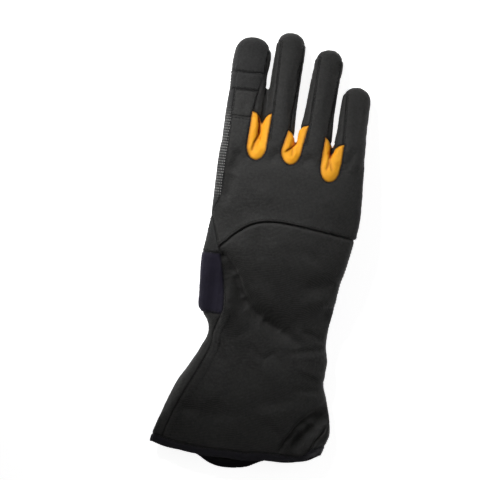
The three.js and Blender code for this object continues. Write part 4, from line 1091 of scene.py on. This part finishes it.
def knit_group():
    """Fine wales and courses with fibres between them: Height for bump, Fibre for colour."""
    group, gi, go = new_group("knit grain", [("Place", "NodeSocketVector", (0, 0, 0)), ("Size", "NodeSocketFloat", 0.0011),
                                            ("Fibres", "NodeSocketFloat", 0.5)],
                              [("Height", "NodeSocketFloat"), ("Fibre", "NodeSocketFloat")])
    scale = math_node(group, "DIVIDE", 1.0, gi.outputs["Size"])
    split = group.nodes.new("ShaderNodeSeparateXYZ")
    group.links.new(gi.outputs["Place"], split.inputs[0])
    x, y = split.outputs["X"], math_node(group, "SUBTRACT", split.outputs["Y"], split.outputs["Z"])
    wave = []
    for a, b in ((1.0, 0.55), (-1.0, 0.55)):
        turn = math_node(group, "ADD", math_node(group, "MULTIPLY", x, a), math_node(group, "MULTIPLY", y, b))
        turn = math_node(group, "MULTIPLY", math_node(group, "MULTIPLY", turn, scale), 6.2832)
        wave.append(math_node(group, "SINE", turn))
    weave = math_node(group, "MULTIPLY_ADD", math_node(group, "MULTIPLY", wave[0], wave[1]), 0.5, 0.5)
    fine = noise_node(group, gi.outputs["Place"], math_node(group, "MULTIPLY", scale, 1.3), 3.0, 0.65)
    fibre = noise_node(group, gi.outputs["Place"], math_node(group, "MULTIPLY", scale, 0.55), 4.0, 0.7)
    height = math_node(group, "ADD", math_node(group, "MULTIPLY", weave, math_node(group, "SUBTRACT", 1.0, gi.outputs["Fibres"])),
                       math_node(group, "MULTIPLY", fine, gi.outputs["Fibres"]))
    group.links.new(height, go.inputs["Height"])
    group.links.new(math_node(group, "ADD", math_node(group, "MULTIPLY", fibre, 0.6), math_node(group, "MULTIPLY", weave, 0.4)),
                    go.inputs["Fibre"])
    return group


def tone_group():
    """Slow patches and finer clouds, around one half."""
    group, gi, go = new_group("slow tone", [("Place", "NodeSocketVector", (0, 0, 0)), ("Patch", "NodeSocketFloat", 0.045)],
                              [("Tone", "NodeSocketFloat"), ("Slub", "NodeSocketFloat")])
    scale = math_node(group, "DIVIDE", 1.0, gi.outputs["Patch"])
    slow = noise_node(group, gi.outputs["Place"], scale, 3.0, 0.55)
    fast = noise_node(group, gi.outputs["Place"], math_node(group, "MULTIPLY", scale, 6.0), 3.0, 0.6)
    slub = noise_node(group, gi.outputs["Place"], math_node(group, "MULTIPLY", scale, 19.0), 2.0, 0.6)
    both = math_node(group, "MULTIPLY_ADD", slow, 0.4, math_node(group, "MULTIPLY", fast, 0.25))
    tone = math_node(group, "MULTIPLY_ADD", slub, 0.35, both)
    tone = math_node(group, "MULTIPLY_ADD", math_node(group, "SUBTRACT", tone, 0.5), 2.6, 0.5)
    tone = math_node(group, "MINIMUM", math_node(group, "MAXIMUM", tone, 0.0), 1.0)
    group.links.new(tone, go.inputs["Tone"])
    group.links.new(slub, go.inputs["Slub"])
    return group


def wear_and_shade_group():
    """How rubbed the cloth is: most on the rounded edge beside a seam, broken up by noise; and painted shade, darkest
    on the seam and gone about two millimetres away.
    """
    group, gi, go = new_group("seam wear and painted shade", [("Place", "NodeSocketVector", (0, 0, 0)), ("Seam", "NodeSocketFloat", 0.0),
                                           ("Width", "NodeSocketFloat", 1.2)],
                              [("Wear", "NodeSocketFloat"), ("Painted shade", "NodeSocketFloat")])
    near = math_node(group, "DIVIDE", math_node(group, "SUBTRACT", gi.outputs["Seam"], gi.outputs["Width"]), gi.outputs["Width"])
    ridge = math_node(group, "EXPONENT", math_node(group, "MULTIPLY", math_node(group, "MULTIPLY", near, near), -1.6))
    broken = noise_node(group, gi.outputs["Place"], 420.0, 3.0, 0.6)
    group.links.new(math_node(group, "MULTIPLY", ridge, broken), go.inputs["Wear"])
    # painted shade: strongest on the seam itself, falling off within about two millimetres
    deep = math_node(group, "DIVIDE", gi.outputs["Seam"], 0.95)
    group.links.new(math_node(group, "EXPONENT", math_node(group, "MULTIPLY", math_node(group, "MULTIPLY", deep, deep), -1.0)),
                    go.inputs["Painted shade"])
    return group


def dots_group():
    """Rows of small light dots, broken up by noise, where the cloth has its grip."""
    group, gi, go = new_group("grip dots", [("Place", "NodeSocketVector", (0, 0, 0)), ("Grip", "NodeSocketFloat", 0.0)],
                              [("Dot", "NodeSocketFloat")])
    split = group.nodes.new("ShaderNodeSeparateXYZ")
    group.links.new(gi.outputs["Place"], split.inputs[0])
    across = math_node(group, "ADD", split.outputs["X"], split.outputs["Z"])
    wave = []
    for a, b in ((1750.0, 1500.0), (-1750.0, 1500.0)):
        turn = math_node(group, "MULTIPLY_ADD", across, a, math_node(group, "MULTIPLY", split.outputs["Y"], b))
        wave.append(math_node(group, "SINE", turn))
    spot = math_node(group, "MULTIPLY_ADD", math_node(group, "MULTIPLY", wave[0], wave[1]), 2.6, -0.6)
    broken = noise_node(group, gi.outputs["Place"], 500.0, 2.0, 0.5)
    shown = math_node(group, "MULTIPLY", math_node(group, "MULTIPLY", gi.outputs["Grip"], broken), 1.7)
    spot = math_node(group, "MINIMUM", math_node(group, "MAXIMUM", spot, 0.0), 1.0)
    group.links.new(math_node(group, "MULTIPLY", spot, shown), go.inputs["Dot"])
    return group


KNIT, TONE, WEAR_AND_SHADE, DOTS = knit_group(), tone_group(), wear_and_shade_group(), dots_group()


# %% Build a fabric from the groups
def placed(tree, group, **values):
    node = tree.nodes.new("ShaderNodeGroup")
    node.node_tree = group
    for label, value in values.items():
        if isinstance(value, (int, float)):
            node.inputs[label].default_value = value
        else:
            tree.links.new(value, node.inputs[label])
    return node


def mixed(tree, share, a, b, kind="MIX"):
    node = tree.nodes.new("ShaderNodeMix")
    node.data_type, node.blend_type = "RGBA", kind
    for socket, value in ((node.inputs[0], share), (node.inputs[6], a), (node.inputs[7], b)):
        if isinstance(value, (int, float, tuple)):
            socket.default_value = value if isinstance(value, (int, float)) else (*value, 1.0)
        else:
            tree.links.new(value, socket)
    return node.outputs[2]


def fabric(name, dark, light, rough, grain, fibres, depth, worn, wear_share, sheen, sheen_tint, heather=0.5):
    material = bpy.data.materials.new(name)
    material.use_nodes = True
    tree = material.node_tree
    shader = tree.nodes["Principled BSDF"]
    place = tree.nodes.new("ShaderNodeTexCoord").outputs["Object"]
    seam = tree.nodes.new("ShaderNodeAttribute")
    seam.attribute_name = "seam"
    knit = placed(tree, KNIT, Place=place, Size=grain, Fibres=fibres)
    tone = placed(tree, TONE, Place=place)
    wear = placed(tree, WEAR_AND_SHADE, Place=place, Seam=seam.outputs["Fac"])
    base = mixed(tree, tone.outputs["Tone"], dark, light)
    speck = math_node(tree, "MULTIPLY_ADD", math_node(tree, "SUBTRACT", knit.outputs["Fibre"], 0.5), heather, 0.24)
    speck = math_node(tree, "MINIMUM", math_node(tree, "MAXIMUM", speck, 0.0), 1.0)
    base = mixed(tree, speck, base, tuple(min(1, 2.2 * c) for c in light))
    base = mixed(tree, math_node(tree, "MULTIPLY", wear.outputs["Wear"], wear_share), base, worn)
    # painted shade in every seam's groove: the colour is drawn most of the way to a quarter of the dark tone on the
    # seam; the stitches carry no seam distance, so their thread gets this painted shade all over
    base = mixed(tree, math_node(tree, "MULTIPLY", wear.outputs["Painted shade"], 0.85), base, tuple(0.25 * c for c in dark))
    if name == "orange stretch knit":
        crease = tree.nodes.new("ShaderNodeAttribute")
        # painted shade: the webs' orange is drawn towards a deep red-brown along their creases, most where a crease is
        # deepest
        crease.attribute_name = "fold"
        deep = math_node(tree, "MINIMUM", math_node(tree, "MULTIPLY", crease.outputs["Fac"], 0.42), 0.95)
        base = mixed(tree, deep, base, (0.28, 0.022, 0.001))
    if name == "synthetic suede":
        grip_seen = tree.nodes.new("ShaderNodeAttribute")
        grip_seen.attribute_name = "grip"
        dots = placed(tree, DOTS, Place=place, Grip=grip_seen.outputs["Fac"])
        base = mixed(tree, dots.outputs["Dot"], base, (0.26, 0.26, 0.255))
    tree.links.new(base, shader.inputs["Base Color"])
    tree.links.new(math_node(tree, "MULTIPLY_ADD", tone.outputs["Tone"], 0.16, rough - 0.08), shader.inputs["Roughness"])
    bump = tree.nodes.new("ShaderNodeBump")
    bump.inputs["Distance"].default_value = depth
    bump.inputs["Strength"].default_value = 0.8
    height = math_node(tree, "MULTIPLY_ADD", tone.outputs["Slub"], 1.6, knit.outputs["Height"])
    tree.links.new(height, bump.inputs["Height"])
    tree.links.new(bump.outputs["Normal"], shader.inputs["Normal"])
    shader.inputs["Sheen Weight"].default_value = sheen
    shader.inputs["Sheen Roughness"].default_value = 0.45
    shader.inputs["Sheen Tint"].default_value = (*sheen_tint, 1.0)
    shader.inputs["Specular IOR Level"].default_value = 0.3
    return material


fabrics = {
    "softshell": fabric("softshell", (0.0062, 0.0061, 0.0059), (0.0205, 0.0202, 0.0195), 0.7, 0.0011, 0.6, 0.00035,
                        (0.05, 0.048, 0.046), 0.35, 0.16, (0.62, 0.6, 0.58), 2.2),
    "suede": fabric("synthetic suede", (0.007, 0.007, 0.007), (0.0215, 0.0215, 0.0215), 0.85, 0.0009, 0.85, 0.00035,
                    (0.055, 0.055, 0.055), 0.4, 0.2, (0.6, 0.6, 0.6), 1.8),
    "stretch": fabric("orange stretch knit", (0.86, 0.235, 0.007), (1.0, 0.35, 0.012), 0.62, 0.0009, 0.35, 0.00016,
                      (1.0, 0.42, 0.05), 0.3, 0.12, (1.0, 0.6, 0.25)),
    "elastic": fabric("navy elastic", (0.0055, 0.0045, 0.0105), (0.0105, 0.0085, 0.0185), 0.8, 0.0009, 0.4, 0.0002,
                      (0.02, 0.017, 0.035), 0.3, 0.14, (0.5, 0.45, 0.75)),
    "braid": fabric("bound braid", (0.003, 0.003, 0.0042), (0.0075, 0.0068, 0.0105), 0.65, 0.0012, 0.2, 0.0003,
                    (0.03, 0.028, 0.038), 0.4, 0.1, (0.6, 0.55, 0.7)),
}
thread = fabric("sewing thread", (0.003, 0.003, 0.0032), (0.008, 0.008, 0.0085), 0.6, 0.0005, 0.2, 0.0001,
                (0.02, 0.02, 0.02), 0.0, 0.02, (0.7, 0.7, 0.7))
grey_thread = fabric("grey overlock thread", (0.02, 0.02, 0.0195), (0.045, 0.045, 0.044), 0.6, 0.0005, 0.2, 0.0001,
                     (0.08, 0.08, 0.08), 0.0, 0.1, (0.7, 0.7, 0.7))
slots = {name: slot for name, _, _, _, slot in PANELS} | {"palm_patch": "suede"}
for name, piece in pieces.items():
    piece.data.materials.append(fabrics[slots[name]])
for piece, spun in ((stitches_back, thread), (stitches_palm, thread), (stitches_side, grey_thread)):
    piece.data.materials.append(spun)

# %% [markdown]
# ## The flat pieces
# Every panel is a sheet that was cut flat and sewn to its neighbours. The table of panels gives, for each, the
# rectangle of fabric that it is cut from.

# %% [markdown]
# ## Floor, light and camera
# The glove lies on a pale table and is seen from straight above, turned a little to the right. A long lens keeps
# the outline as flat as in a catalogue picture. One small soft light with a narrow beam stands above the fingers on
# the left, so that the folds cast soft shade down to the right, and one weaker, larger one keeps the black cloth
# readable.

# %% Stage
floor_mesh = bpy.data.meshes.new("table")
floor_mesh.from_pydata([(-3, -3, 0), (3, -3, 0), (3, 3, 0), (-3, 3, 0)], [], [(0, 1, 2, 3)])
floor = bpy.data.objects.new("table", floor_mesh)
bpy.context.collection.objects.link(floor)
paper = bpy.data.materials.new("pale table")
paper.use_nodes = True
table_top = paper.node_tree.nodes["Principled BSDF"]
table_top.inputs["Base Color"].default_value = (0.9, 0.9, 0.9, 1)
table_top.inputs["Roughness"].default_value = 0.9
table_top.inputs["Emission Color"].default_value = (1, 1, 1, 1)
table_top.inputs["Emission Strength"].default_value = 0.88
floor_mesh.materials.append(paper)

world = bpy.data.worlds.new("studio")
bpy.context.scene.world = world
world.use_nodes = True
world.node_tree.nodes["Background"].inputs["Color"].default_value = (1, 1, 1, 1)
world.node_tree.nodes["Background"].inputs["Strength"].default_value = 0.1


def soft_light(name, place, aim, size, power, spread=180):
    data = bpy.data.lights.new(name, "AREA")
    data.shape, data.size, data.energy, data.spread = "SQUARE", size, power, math.radians(spread)
    light = bpy.data.objects.new(name, data)
    light.location = place
    light.rotation_euler = (Vector(aim) - Vector(place)).to_track_quat("-Z", "Y").to_euler()
    bpy.context.collection.objects.link(light)


soft_light("key", (-0.50, 0.70, 0.75), (-0.01, 0.045, 0.0), 0.16, 0.235, 22)
soft_light("fill", (0.8, 0.5, 1.1), (0, 0.05, 0.0), 1.0, 0.95)

camera_data = bpy.data.cameras.new("from above")
camera_data.lens, camera_data.sensor_width, camera_data.clip_end = 297.5, 36.0, 10
camera = bpy.data.objects.new("from above", camera_data)
camera.location = (-0.0194, 0.0059, 3.04)
camera.rotation_euler = (0, 0, math.radians(7))
bpy.context.collection.objects.link(camera)
bpy.context.scene.camera = camera
bpy.context.scene.view_settings.view_transform = "Standard"
